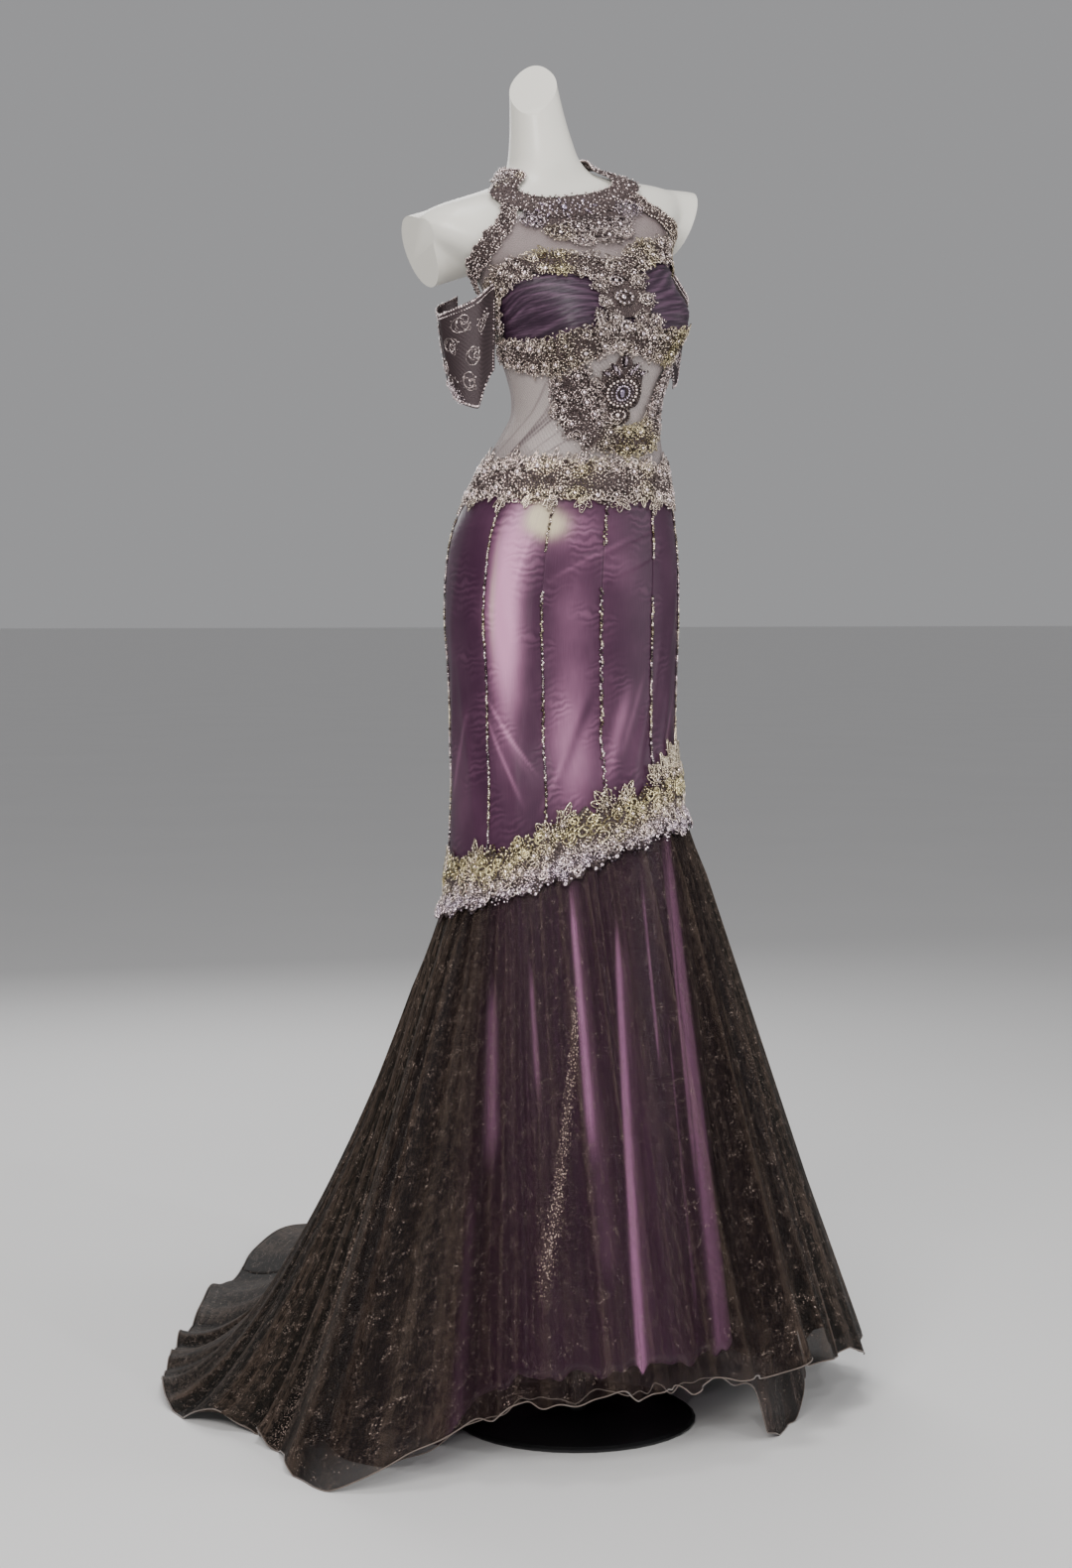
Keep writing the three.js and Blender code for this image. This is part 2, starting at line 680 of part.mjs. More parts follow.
function buildBodiceTrims() {
  const plain = { scallops: 6, scallop: 0.6, thick: 1.8, relief: 1.6, perScallop: 2, across: 2 };
  addPiece('halter_strap_right', trimOnForm(ROUTES.strap_right, plain), 'beads');
  addPiece('halter_strap_left', trimOnForm(ROUTES.strap_left, plain), 'beads');
  addPiece('border_right', trimOnForm(ROUTES.border_right, { scallops: 7, scallop: 3 }), 'beads');
  addPiece('border_left', trimOnForm(ROUTES.border_left, { scallops: 7, scallop: 3 }), 'beads');
  addPiece('underbust_band', trimOnForm(ROUTES.underbust_band, { scallops: 12, scallop: 4 }), 'beads');
  addPiece('midriff_garland', trimOnForm(ROUTES.midriff_garland, { scallops: 10, scallop: 4 }), 'beads');
  const knobs = (countU, countV, rise) => (u, v) => rise
    * Math.abs(Math.sin(Math.PI * countU * u) * Math.sin(Math.PI * countV * v)) ** 0.6;
  addPiece('centre_panel', panelOnForm({
    from: -17, to: 14, low: () => 1350, high: () => 1396, cols: 6, rows: 6,
    lift: TRIM_LIFT, thick: 2.2, relief: knobs(3, 3, 2.6),
  }), 'beads');
  const collar = (name) => (turn) => read(COLLAR_EDGE, 'turn', name, wrapTurn(turn));
  const collarCols = 30;
  addPiece('collar_band', wallGeometry(collarCols, 3, (i, j, outside) => {
    const turn = wrapTurn((360 / collarCols) * i);
    const v = j / 3;
    const crown = 1 - (2 * v - 1) ** 2;
    const height = lerp(collar('low')(turn), collar('high')(turn), v);
    return onForm(turn, height, outside ? BAND_LIFT + 2 + 2 * crown : BAND_LIFT);
  }, true), 'beads');
  const drop = table('turn depth', [[-25, 8], [-18, 28], [-8, 32], [2, 36], [10, 30], [17, 12]]);
  const hang = 0.5; // clearance of the cluster below the collar
  addPiece('collar_cluster', panelOnForm({
    from: -25,
    to: 17,
    low: (turn) => collar('low')(turn) - hang - read(drop, 'turn', 'depth', turn),
    high: (turn) => collar('low')(turn) - hang,
    cols: 9,
    rows: 4,
    lift: BAND_LIFT,
    thick: 2,
    relief: knobs(4, 2, 2.4),
  }), 'beads');
}

// A raised motif on the form: rings of points round its middle, with petals in the outline.
function motifOnForm({ turn, height, wide, tall, lift, thick, petals, petal, sides = 15 }) {
  const radius = radiusAt(turn, height);
  const levels = [[1, 0], [1, 0.45], [0.72, 0.8], [0.42, 0.72], [0.3, 1]];
  const ringAt = (scale, rise) => Array.from({ length: sides }, (_, i) => {
    const angle = (2 * Math.PI * i) / sides;
    const reach = scale * (1 + petal * Math.cos(petals * angle) * (scale > 0.5 ? 1 : 0));
    return onForm(
      turn + degreesFor(wide * reach * Math.cos(angle), radius),
      height + tall * reach * Math.sin(angle),
      lift + thick * rise,
    );
  });
  const rings = levels.map(([scale, rise]) => ringAt(scale, rise));
  return ringsGeometry(rings, onForm(turn, height, lift), onForm(turn, height, lift + thick * 1.08));
}

function buildMotifs() {
  addPiece('midriff_jewel', motifOnForm({
    turn: -2, height: 1266, wide: 14, tall: 30, lift: TRIM_LIFT, thick: 7, petals: 5, petal: 0.14,
  }), 'jewel');
  addPiece('collar_flower', motifOnForm({
    turn: -7, height: 1487, wide: 13, tall: 10, lift: BAND_LIFT + 4 + MOTIF_REST, thick: 5,
    petals: 5, petal: 0.12,
  }), 'jewel');
}

// The scalloped band round the waist, over the seam
function buildWaistBand() {
  const { height, half, scallops, scallop, thick, relief } = WAIST_BAND;
  const steps = scallops * 3;
  const across = 3;
  addPiece('waist_band', wallGeometry(steps, across, (i, j, outside) => {
    const turn = wrapTurn((360 / steps) * i);
    const wave = 0.5 - 0.5 * Math.cos(2 * Math.PI * scallops * (i / steps));
    const side = (2 * j) / across - 1;
    const crown = (1 - side * side) * (0.3 + 0.7 * wave) + 0.1;
    const at = height + side * (half - scallop * (1 - wave));
    return onForm(turn, at, outside ? BAND_LIFT + thick + relief * crown : BAND_LIFT);
  }, true), 'beads');
}

// Turns of the flutes are a little uneven. along is the share of the way round.
function fluteTurn(along) {
  const uneven = 5 * Math.sin(2 * Math.PI * (3 * along + 0.12)) + 2.4 * Math.sin(2 * Math.PI * 7 * along);
  return 360 * along - 180 + uneven;
}

// A point of a flared layer. along is the share of the way round and t the share of the way
// from the join (0) to the hem (1).
function flarePoint(layer, along, t, nudge = 0) {
  const base = (share, way) => {
    const turn = fluteTurn(share);
    const wrapped = wrapTurn(turn < -180 ? turn + 360 : turn);
    const start = onForm(wrapped, joinHeight(wrapped) - JOIN_GAP / 2, layer.lift);
    const reach = readRound(layer.hem, 'reach', turn) - (layer.edge ?? layer.depth / 2);
    const rise = Math.max(HEM_REST, readRound(layer.hem, 'rise', turn));
    const sweep = readRound(layer.hem, 'sweep', turn);
    const end = new THREE.Vector3(
      Math.sin(radians(turn)) * reach,
      -Math.cos(radians(turn)) * reach,
      rise,
    );
    const point = start.clone().lerp(end, way);
    point.z = rise + (start.z - rise) * Math.max(0, 1 - way) ** sweep;
    return point;
  };
  const small = 0.002;
  const here = base(along, t);
  const around = base(along + small, t).sub(base(along - small, t));
  const up = base(along, Math.max(0, t - 0.01)).sub(base(along, Math.min(1, t + 0.01)));
  const normal = around.clone().cross(up).normalize();
  const wave = 0.5 - 0.5 * Math.cos(2 * Math.PI * layer.flutes * along);
  const uneven = 0.8 + 0.2 * Math.sin(2 * Math.PI * (5 * along + 0.3));
  const depth = layer.gather * (1 - t) + layer.depth * uneven * t ** 1.15;
  here.addScaledVector(up.cross(normal).normalize(), nudge);
  return { point: here.addScaledVector(normal, wave * depth), normal };
}

// The rows lie a little closer together near the join. row counts down from it.
const rowShare = (layer, row) => (row / layer.rows) ** 1.15;

function buildFlare() {
  for (const [name, layer] of Object.entries(LAYERS)) {
    const { flutes, steps, rows, panels } = layer;
    const cols = (flutes * steps) / panels;
    for (let k = 0; k < panels; k += 1) {
      addPiece(`${name}_${k + 1}`, wallGeometry(cols, rows, (i, j, outside) => {
        const along = (k * cols + i) / (cols * panels);
        const t = rowShare(layer, rows - j);
        const nudge = (i === 0 ? SEAM / 2 : 0) - (i === cols ? SEAM / 2 : 0);
        const { point, normal } = flarePoint(layer, along, t, nudge);
        return outside ? point.addScaledVector(normal, WALL) : point;
      }), name === 'satin_lining' ? 'lining' : 'organza');
    }
  }
}

// The scalloped band over the knee join. Above the join it lies on the hip pieces, and below it
// on the outer layer's gathers.
function buildKneeBand() {
  const { below, above, scallops, scallop, thick, relief } = KNEE_BAND;
  const outer = LAYERS.organza_outer;
  const steps = scallops * 3;
  const clear = 2.3;
  const gathered = outer.lift + WALL + outer.gather + clear; // lift of the band over the gathers
  const profile = table('up lift', [[-1, gathered], [0, gathered], [14, TRIM_LIFT + 0.4], [30, TRIM_LIFT]]);
  const heights = [-below, -2, 16, 44, above];
  const halves = [['front', -90, 90], ['back', 90, 270]];
  for (const [place, from, to] of halves) {
    const cols = steps / 2;
    addPiece(`knee_band_${place}`, wallGeometry(cols, heights.length - 1, (i, j, outside) => {
      const plain = lerp(from, to, i / cols);
      const inset = degreesFor(SEAM, radiusAt(plain, JOIN.height));
      const turn = plain + (i === 0 ? inset : 0) - (i === cols ? inset : 0);
      const wave = 0.5 - 0.5 * Math.cos(2 * Math.PI * scallops * (turn / 360));
      const edge = j === heights.length - 1 ? -scallop * (1 - wave) : 0;
      const up = heights[j] + edge;
      const v = (up + below) / (above + below);
      const crown = Math.max(0, Math.sin(Math.PI * v)) * (0.4 + 0.6 * wave);
      const swell = outside ? thick + relief * crown : 0;
      if (up >= -2) {
        const lift = read(profile, 'up', 'lift', up);
        return onForm(wrapTurn(turn), joinHeight(wrapTurn(turn)) + up, lift + swell);
      }
      return kneeSkirtPoint(outer, turn, -up - scallop * 0.5 * (1 - wave), clear + swell);
    }), 'beads');
  }
}

// A point over the outer layer's folds, a distance down from the join.
function kneeSkirtPoint(layer, turn, down, lift) {
  const wanted = wrapTurn(turn);
  let along = (wanted + 180) / 360;
  for (let round = 0; round < 8; round += 1) along += (wanted - fluteTurn(along)) / 360;
  const smooth = { ...layer, gather: 0, depth: 0, edge: layer.depth / 2 };
  const first = rowShare(layer, 1);
  const top = flarePoint(smooth, along, 0).point;
  const low = flarePoint(smooth, along, first);
  const share = down / low.point.distanceTo(top);
  const fold = lerp(layer.gather, layer.gather * (1 - first) + layer.depth * first ** 1.15, share);
  return top.lerp(low.point, share).addScaledVector(low.normal, fold + WALL + lift);
}

// The off-shoulder sleeves hang free beside the arm stumps.
function sleeveGeometry(mirrored) {
  const cols = 12;
  const rows = 6;
  const base = (s, v) => {
    const at = (name) => read(SLEEVE, 'along', name, s);
    const height = lerp(at('lower'), at('upper'), v);
    const pull = SLEEVE_TIP_PULL * Math.max(0, 1 - v) ** 1.5 * Math.sin(Math.PI * Math.min(1, Math.max(0, s)));
    const folds = 3 * Math.sin(2 * Math.PI * 3 * s) * (1 - 0.5 * v);
    const x = lerp(at('x'), SLEEVE_MIDDLE.x, pull);
    const y = lerp(at('y'), SLEEVE_MIDDLE.y, pull);
    return new THREE.Vector3(x - folds, y, height);
  };
  const right = (i, j, outside) => {
    const p = movedOut(base, 1 - i / cols, j / rows, -0.02, 0.03, outside ? WALL : 0);
    return p;
  };
  if (!mirrored) return wallGeometry(cols, rows, right);
  const { rise, back, slim, start } = LEFT_SLEEVE;
  return wallGeometry(cols, rows, (i, j, outside) => {
    const p = right(cols - i, j, outside);
    return new THREE.Vector3(start + (-p.x + SLEEVE[0].x) * slim, p.y + back, p.z + rise);
  });
}

buildForm();
buildStand();
buildHips();
buildBodice();
buildBodiceTrims();
buildMotifs();
buildWaistBand();
buildFlare();
buildKneeBand();
addPiece('sleeve_right', sleeveGeometry(false), 'net');
addPiece('sleeve_left', sleeveGeometry(true), 'net');

export default gown;
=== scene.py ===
# %% [markdown]
# # A beaded evening gown on a dress form
# This lesson dresses a finished solid model. The solids give the place and size of every part,
# and Blender gives cloth, gathers, beads and stones. The first cell loads the solids and clears
# the selection that the import leaves behind.

# %% Load the solids
import json
import math
import bpy
import numpy as np
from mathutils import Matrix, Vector

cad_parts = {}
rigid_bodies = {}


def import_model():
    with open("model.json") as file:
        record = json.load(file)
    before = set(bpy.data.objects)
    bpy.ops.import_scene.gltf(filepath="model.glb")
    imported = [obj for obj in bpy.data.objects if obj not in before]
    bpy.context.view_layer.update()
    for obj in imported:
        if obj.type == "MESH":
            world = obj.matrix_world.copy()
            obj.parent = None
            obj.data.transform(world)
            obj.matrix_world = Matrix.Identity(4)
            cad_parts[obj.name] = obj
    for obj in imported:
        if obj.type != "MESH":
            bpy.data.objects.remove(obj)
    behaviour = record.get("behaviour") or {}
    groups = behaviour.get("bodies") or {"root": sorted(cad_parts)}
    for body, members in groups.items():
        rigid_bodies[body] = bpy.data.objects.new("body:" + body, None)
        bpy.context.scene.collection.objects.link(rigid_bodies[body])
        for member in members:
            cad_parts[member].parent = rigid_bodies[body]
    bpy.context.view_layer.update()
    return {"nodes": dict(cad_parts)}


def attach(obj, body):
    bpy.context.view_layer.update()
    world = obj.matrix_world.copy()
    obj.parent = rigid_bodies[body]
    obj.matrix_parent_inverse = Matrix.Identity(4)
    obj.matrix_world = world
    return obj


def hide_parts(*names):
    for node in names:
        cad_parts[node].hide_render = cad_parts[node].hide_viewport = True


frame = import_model()
bpy.ops.object.select_all(action="DESELECT")
MM = 0.001
WALL = 1.2
rng = np.random.default_rng(11)

# %% [markdown]
# ## Camera, floor and light
# The gown was seen from its front right, from about chest height, so that its verticals stay
# upright. The camera goes first, because all later judging is done through it. A pale floor and
# four large soft lights are enough; two small lamps make the cut beads sparkle.

# %% Camera, floor and light
VIEW_ACROSS = Vector((0.866, -0.5, 0))
VIEW_AHEAD = Vector((0.5, 0.866, 0))
FOCAL_PIXELS, PICTURE_TALL, SENSOR = 2787, 1580, 36
EYE_AWAY, EYE_HIGH = 3.4, 1.0
AIM_SIDE, AIM_DOWN = 40, 170  # pixels from the form's axis and from eye level
FLOOR_WIDE = 400


def add_camera():
    data = bpy.data.cameras.new("camera")
    camera = bpy.data.objects.new("camera", data)
    bpy.context.collection.objects.link(camera)
    camera.location = -EYE_AWAY * VIEW_AHEAD + Vector((0, 0, EYE_HIGH))
    down = Vector((0, 0, AIM_DOWN / FOCAL_PIXELS))
    aim = VIEW_AHEAD - VIEW_ACROSS * AIM_SIDE / FOCAL_PIXELS - down
    camera.rotation_euler = aim.to_track_quat("-Z", "Y").to_euler()
    data.lens = FOCAL_PIXELS * SENSOR / PICTURE_TALL
    data.clip_end = FLOOR_WIDE
    bpy.context.scene.camera = camera


def add_light(name, place, aim, size, power, colour=(1, 1, 1)):
    data = bpy.data.lights.new(name, "AREA")
    data.size = size
    data.energy = power
    data.color = colour
    light = bpy.data.objects.new(name, data)
    bpy.context.collection.objects.link(light)
    light.location = place
    light.rotation_euler = (Vector(aim) - Vector(place)).to_track_quat("-Z", "Y").to_euler()


def add_floor():
    bpy.ops.mesh.primitive_plane_add(size=FLOOR_WIDE)
    floor = bpy.context.object
    floor.name = "floor"
    return floor


add_camera()
floor = add_floor()
add_light("key_light", (-2.6, -2.6, 2.6), (0, 0, 0.9), 1.4, 120, (1, 0.97, 0.94))
add_light("fill_light", (2.8, -2.2, 1.6), (0, 0, 0.8), 2.0, 40)
add_light("back_light", (0.6, 3.2, 2.6), (0, 0, 0.9), 2.2, 60)
add_light("top_light", (-0.3, -0.6, 3.4), (0, 0, 0.8), 1.0, 30)
add_light("sparkle_left", (-1.5, -2.9, 1.9), (0, 0, 1.1), 0.1, 18)
add_light("sparkle_right", (0.5, -3.2, 2.2), (0, 0, 1.1), 0.1, 16)
world = bpy.data.worlds.new("studio")
bpy.context.scene.world = world
world.use_nodes = True
sky = world.node_tree.nodes["Background"]
sky.inputs["Color"].default_value = (0.8, 0.8, 0.82, 1)
sky.inputs["Strength"].default_value = 0.42
print("camera at", tuple(round(x, 2) for x in bpy.context.scene.camera.location))

# %% [markdown]
# ## Shader arithmetic
# Materials are written as expressions. A small class wraps a socket and turns + - * / and powers
# into Math nodes, and one method adds any other node.


# %% Shader helpers
class Value:
    """A socket that can be used in sums."""

    def __init__(self, tree, socket):
        self.tree = tree
        self.socket = socket

    def maths(self, operation, *others):
        node = self.tree.nodes.new("ShaderNodeMath")
        node.operation = operation
        for slot, other in zip(node.inputs, others):
            join(self.tree, other, slot)
        return Value(self.tree, node.outputs[0])

    def __add__(self, other):
        return self.maths("ADD", self, other)

    def __radd__(self, other):
        return self.maths("ADD", other, self)

    def __sub__(self, other):
        return self.maths("SUBTRACT", self, other)

    def __rsub__(self, other):
        return self.maths("SUBTRACT", other, self)

    def __mul__(self, other):
        return self.maths("MULTIPLY", self, other)

    def __rmul__(self, other):
        return self.maths("MULTIPLY", other, self)

    def __pow__(self, other):
        return self.maths("POWER", self, other)

    def band(self, low, high):
        """0 below low, 1 above high and smooth between."""
        node = self.tree.nodes.new("ShaderNodeMapRange")
        node.interpolation_type = "SMOOTHSTEP"
        join(self.tree, self, node.inputs["Value"])
        node.inputs["From Min"].default_value = low
        node.inputs["From Max"].default_value = high
        return Value(self.tree, node.outputs["Result"])


def join(tree, value, slot):
    if isinstance(value, Value):
        value = value.socket
    if isinstance(value, bpy.types.NodeSocket):
        tree.links.new(value, slot)
    elif isinstance(value, tuple) and len(value) == 3 and slot.type == "RGBA":
        slot.default_value = (*value, 1)
    else:
        slot.default_value = value


class Finish:
    """A material with a Principled shader."""

    def __init__(self, name, **constants):
        self.material = bpy.data.materials.new(name)
        self.material.use_nodes = True
        self.tree = self.material.node_tree
        self.shader = self.tree.nodes["Principled BSDF"]
        for key, value in constants.items():
            label = key.replace("_", " ").title().replace("Ior", "IOR")
            join(self.tree, value, self.shader.inputs[label])

    def add(self, kind, settings, sockets, output=0):
        node = self.tree.nodes.new("ShaderNode" + kind)
        for key, value in settings.items():
            setattr(node, key, value)
        for key, value in sockets.items():
            join(self.tree, value, node.inputs[key])
        return Value(self.tree, node.outputs[output])

    def uv(self):
        return self.add("TexCoord", {}, {}, "UV")

    def place(self):
        return self.add("TexCoord", {}, {}, "Object")

    def attribute(self, name):
        return self.add("Attribute", {"attribute_name": name}, {}, "Fac")

    def noise(self, where, scale, detail=2.0, roughness=0.5, distortion=0.0):
        sockets = {"Vector": where, "Scale": scale, "Detail": detail,
                   "Roughness": roughness, "Distortion": distortion}
        return self.add("TexNoise", {}, sockets)

    def stretched(self, where, x, y, z=1.0):
        return self.add("Mapping", {}, {"Vector": where, "Scale": (x, y, z)})

    def mix(self, share, a, b):
        node = self.tree.nodes.new("ShaderNodeMix")
        node.data_type = "RGBA"
        join(self.tree, share, node.inputs[0])
        join(self.tree, a, node.inputs[6])
        join(self.tree, b, node.inputs[7])
        return Value(self.tree, node.outputs[2])

    def bump(self, height, strength, distance):
        sockets = {"Height": height, "Strength": strength, "Distance": distance}
        normal = self.add("Bump", {}, sockets)
        join(self.tree, normal, self.shader.inputs["Normal"])

    def set(self, name, value):
        join(self.tree, value, self.shader.inputs[name])


print("shader helpers are ready")

# %% [markdown]
# ## The dress form's surface as a formula
# The bodice and the hips are cut to fit the form, so every fitted piece can be found from one
# surface: a rounded section at each height, with a turn and a lean. The rows are measured off
# the solid model. A curve through them that never passes beyond a row keeps the shape quiet.
# Millimetres are used until a mesh is made.


# %% Curves and the form's surface
class Curve:
    """A smooth curve through rows, which never passes beyond them."""

    def __init__(self, xs, ys, period=None):
        xs, ys = np.array(xs, float), np.array(ys, float)
        self.first, self.period = xs[0], period
        if period:
            xs = np.array([xs[-1] - period, *xs, xs[0] + period, xs[1] + period])
            ys = np.array([ys[-1], *ys, ys[0], ys[1]])
        step = np.diff(ys) / np.diff(xs)
        before, after = step[:-1], step[1:]
        limit = 3 * np.minimum(np.abs(before), np.abs(after))
        inner = np.sign(before) * np.minimum(np.abs(before + after) / 2, limit)
        inner[before * after <= 0] = 0
        self.xs, self.ys = xs, ys
        self.slope = np.array([step[0], *inner, step[-1]])

    def __call__(self, x):
        x = np.asarray(x, float)
        if self.period:
            x = (x - self.first) % self.period + self.first
        x = np.clip(x, self.xs[0], self.xs[-1])
        i = np.clip(np.searchsorted(self.xs, x, side="right") - 1, 0, len(self.xs) - 2)
        span = self.xs[i + 1] - self.xs[i]
        t = (x - self.xs[i]) / span
        return (self.ys[i] * (2 * t**3 - 3 * t**2 + 1)
                + self.slope[i] * span * (t**3 - 2 * t**2 + t)
                + self.ys[i + 1] * (3 * t**2 - 2 * t**3)
                + self.slope[i + 1] * span * (t**3 - t**2))


def curves(columns, rows, period=None):
    """One curve for each column after the first."""
    names = columns.split()[1:]
    data = np.array(rows, float)
    return {name: Curve(data[:, 0], data[:, k + 1], period) for k, name in enumerate(names)}


FORM = curves("height side depth roll yaw half front back", [
    (640, -7, 16, 0, -4, 145, 107, 107), (700, -6, 16, 0, -4, 143, 106, 106),
    (790, -5, 15, 0, -4, 141, 104, 105), (854, -7, 18, 0, -4, 139, 102, 104),
    (927, -7, 18, 0, -4, 140.5, 102, 107), (1000, -8, 18, 0, -4, 144, 103, 112),
    (1049, -8, 17, 0, -3, 143, 103, 112), (1098, -8, 14, 0, -2, 138, 101, 104),
    (1146, -4, 8, 0, 0, 125, 94, 92), (1195, 0, -2, 0, 2, 107, 83, 78),
    (1220, 2, -8, 0, 3, 97, 77, 72), (1244, 3, -13, 1, 4, 90, 73, 68),
    (1268, 4, -15, 2, 5, 92, 75, 70), (1293, 5, -16, 3, 5, 99, 80, 76),
    (1329, 5, -15, 4.5, 5, 109, 84, 84), (1366, 4, -11, 6, 5, 116, 86, 88),
    (1402, 0, 2, 7, 5, 122, 86, 84), (1430, -4, 13, 8, 5, 134, 80, 74),
    (1450, -8, 20, 8.5, 5, 156, 74, 66), (1472, -12, 27, 8.5, 5, 184, 66, 58),
    (1495, -16, 33, 8.5, 5, 192, 57, 50), (1512, -19, 37, 8.5, 5, 168, 50, 46),
    (1522, -21, 39, 8.5, 5, 116, 47, 46), (1530, -22, 40, 8.5, 5, 74, 46, 46),
    (1545, -24, 40, 8.5, 5, 50, 45, 44), (1570, -27, 40, 8.5, 5, 40, 40, 40),
    (1610, -33, 40, 8.5, 5, 33, 34, 34), (1700, -46, 40, 8.5, 5, 25, 26, 26),
])
BUST = {"height": 1350, "turn": 34, "rise": 27, "wide": 21, "tall": 36}
ROUND_POWER = 2 / 2.25


def form_point(turn, height):
    turn, height = np.broadcast_arrays(np.asarray(turn, float), np.asarray(height, float))
    s, c = np.sin(np.radians(turn)), np.cos(np.radians(turn))
    depth = np.where(c > 0, FORM["front"](height), FORM["back"](height))
    bump = 0
    for side in (-1, 1):
        across = (turn - side * BUST["turn"]) / BUST["wide"]
        up = (height - BUST["height"]) / BUST["tall"]
        bump = bump + BUST["rise"] * np.exp(-across**2 - up**2)
    x = np.sign(s) * np.abs(s) ** ROUND_POWER * FORM["half"](height) + bump * s * 0.8
    y = -np.sign(c) * np.abs(c) ** ROUND_POWER * depth - bump * c
    yaw, roll = np.radians(FORM["yaw"](height)), np.radians(FORM["roll"](height))
    across = x * np.cos(yaw) - y * np.sin(yaw)
    return np.stack([FORM["side"](height) + across * np.cos(roll),
                     FORM["depth"](height) + x * np.sin(yaw) + y * np.cos(yaw),
                     height + across * np.sin(roll)], -1)


def unit(vectors):
    return vectors / np.maximum(np.linalg.norm(vectors, axis=-1, keepdims=True), 1e-9)


def wrap_turn(turn):
    return (np.asarray(turn, float) + 180) % 360 - 180


def on_form(turn, height, lift):
    """Points a lift above the form, along its normal."""
    turn = wrap_turn(turn)
    along = form_point(turn + 2, height) - form_point(turn - 2, height)
    up = form_point(turn, np.asarray(height) + 3) - form_point(turn, np.asarray(height) - 3)
    lift = np.asarray(lift, float)[..., None]
    return form_point(turn, height) + unit(np.cross(along, up)) * lift


def radius_at(turn, height):
    p = form_point(wrap_turn(turn), height)
    return np.hypot(p[..., 0] - FORM["side"](height), p[..., 1] - FORM["depth"](height))


CLOTH_LIFT, TRIM_LIFT, BAND_LIFT, JOIN_GAP = 1.8, 4.3, 3.7, 0.8
JOIN_TURNS = np.arange(-180, 181, 1.0)
JOIN_MIDDLE, JOIN_RISE_X, JOIN_RISE_Y = 702.0, 0.342, -0.18


def join_rows():
    """Heights of the slanted knee join, where the hips end and the flare begins."""
    height = np.full(JOIN_TURNS.shape, JOIN_MIDDLE)
    for _ in range(6):
        p = on_form(JOIN_TURNS, height, CLOTH_LIFT)
        height = JOIN_MIDDLE + JOIN_RISE_X * p[:, 0] + JOIN_RISE_Y * p[:, 1]
    return height


JOIN_HEIGHTS = join_rows()


def join_height(turn):
    return np.interp(wrap_turn(turn), JOIN_TURNS, JOIN_HEIGHTS)


print("knee join from", JOIN_HEIGHTS.min().round(), "to", JOIN_HEIGHTS.max().round(), "mm")

# %% [markdown]
# ## Sheets of cloth
# A cloth piece starts as a flat grid, one vertex for each crossing of an imagined weave, and a
# formula then lays each vertex where the cloth hangs. Its UV map keeps real metres, so a weave
# has its true size. Solidify gives it the thickness of a cloth. The cut's size is measured along
# the longest row and column of the grid. Gathered and ruched pieces are cut larger than they
# hang: their ease says how much larger.


def finish_piece(piece, name, material):
    piece.name = name
    piece.data.name = name
    piece.data.materials.clear()
    piece.data.materials.append(material)
    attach(piece, "root")
    bpy.ops.object.select_all(action="DESELECT")
    return piece


def paint(piece, name, values):
    layer = piece.data.attributes.new(name, "FLOAT", "POINT")
    layer.data.foreach_set("value", np.ascontiguousarray(values, dtype=np.float32))


def lengths(grid, axis):
    steps = np.linalg.norm(np.diff(grid, axis=axis), axis=-1)
    return steps.sum(axis=axis)


def cloth(name, cols, rows, place, material, thick=0.6,
          ease=1.0, painted=None):
    """A sheet of cols by rows cells. place(u, v) gives its points in mm, v running upwards."""
    bpy.ops.mesh.primitive_grid_add(x_subdivisions=cols, y_subdivisions=rows, size=1)
    piece = bpy.context.object
    count = len(piece.data.vertices)
    flat = np.empty(count * 3, np.float32)
    piece.data.vertices.foreach_get("co", flat)
    flat = flat.reshape(-1, 3).astype(float)
    u, v = np.clip(flat[:, 0] + 0.5, 0, 1), np.clip(flat[:, 1] + 0.5, 0, 1)
    points = place(u, v)
    piece.data.vertices.foreach_set("co", (points * MM).astype(np.float32).ravel())
    order = np.lexsort((np.round(u * cols), np.round(v * rows)))
    grid = points[order].reshape(rows + 1, cols + 1, 3)
    width, length = lengths(grid, 1).max() * MM, lengths(grid, 0).max() * MM
    scale_uv(piece, width, length)
    for key, values in (painted or {}).items():
        paint(piece, key, values(u, v))
    piece.data.shade_smooth()
    thicken(piece, thick)
    finish_piece(piece, name, material)
    area = sheet_area(grid) * 1e-6 * ease
    return piece


def sheet_area(grid):
    a = grid[1:, :-1] - grid[:-1, :-1]
    b = grid[:-1, 1:] - grid[:-1, :-1]
    return np.linalg.norm(np.cross(a, b), axis=-1).sum()


def scale_uv(piece, width, length):
    layer = piece.data.uv_layers[0]
    values = np.empty(len(layer.data) * 2, np.float32)
    layer.data.foreach_get("uv", values)
    values = values.reshape(-1, 2) * (width, length)
    layer.data.foreach_set("uv", values.astype(np.float32).ravel())


def thicken(piece, thick):
    solidify = piece.modifiers.new("thickness", "SOLIDIFY")
    solidify.thickness = thick * MM
    solidify.offset = 1
    bpy.ops.object.modifier_apply(modifier=solidify.name)


def hide_behind(piece, *names):
    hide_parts(*names)
    return piece


def flat_edge(height):
    return lambda turn: np.full(np.shape(turn), float(height))


def shifted(curve, by):
    return lambda turn: curve(turn) + by


def between(start, end, low, high):
    """Turn and height by u and v, between two turns and two edges on the form."""
    def spot(u, v):
        turn = start + (end - start) * u
        bottom, top = low(turn), high(turn)
        return turn, bottom + (top - bottom) * v
    return spot
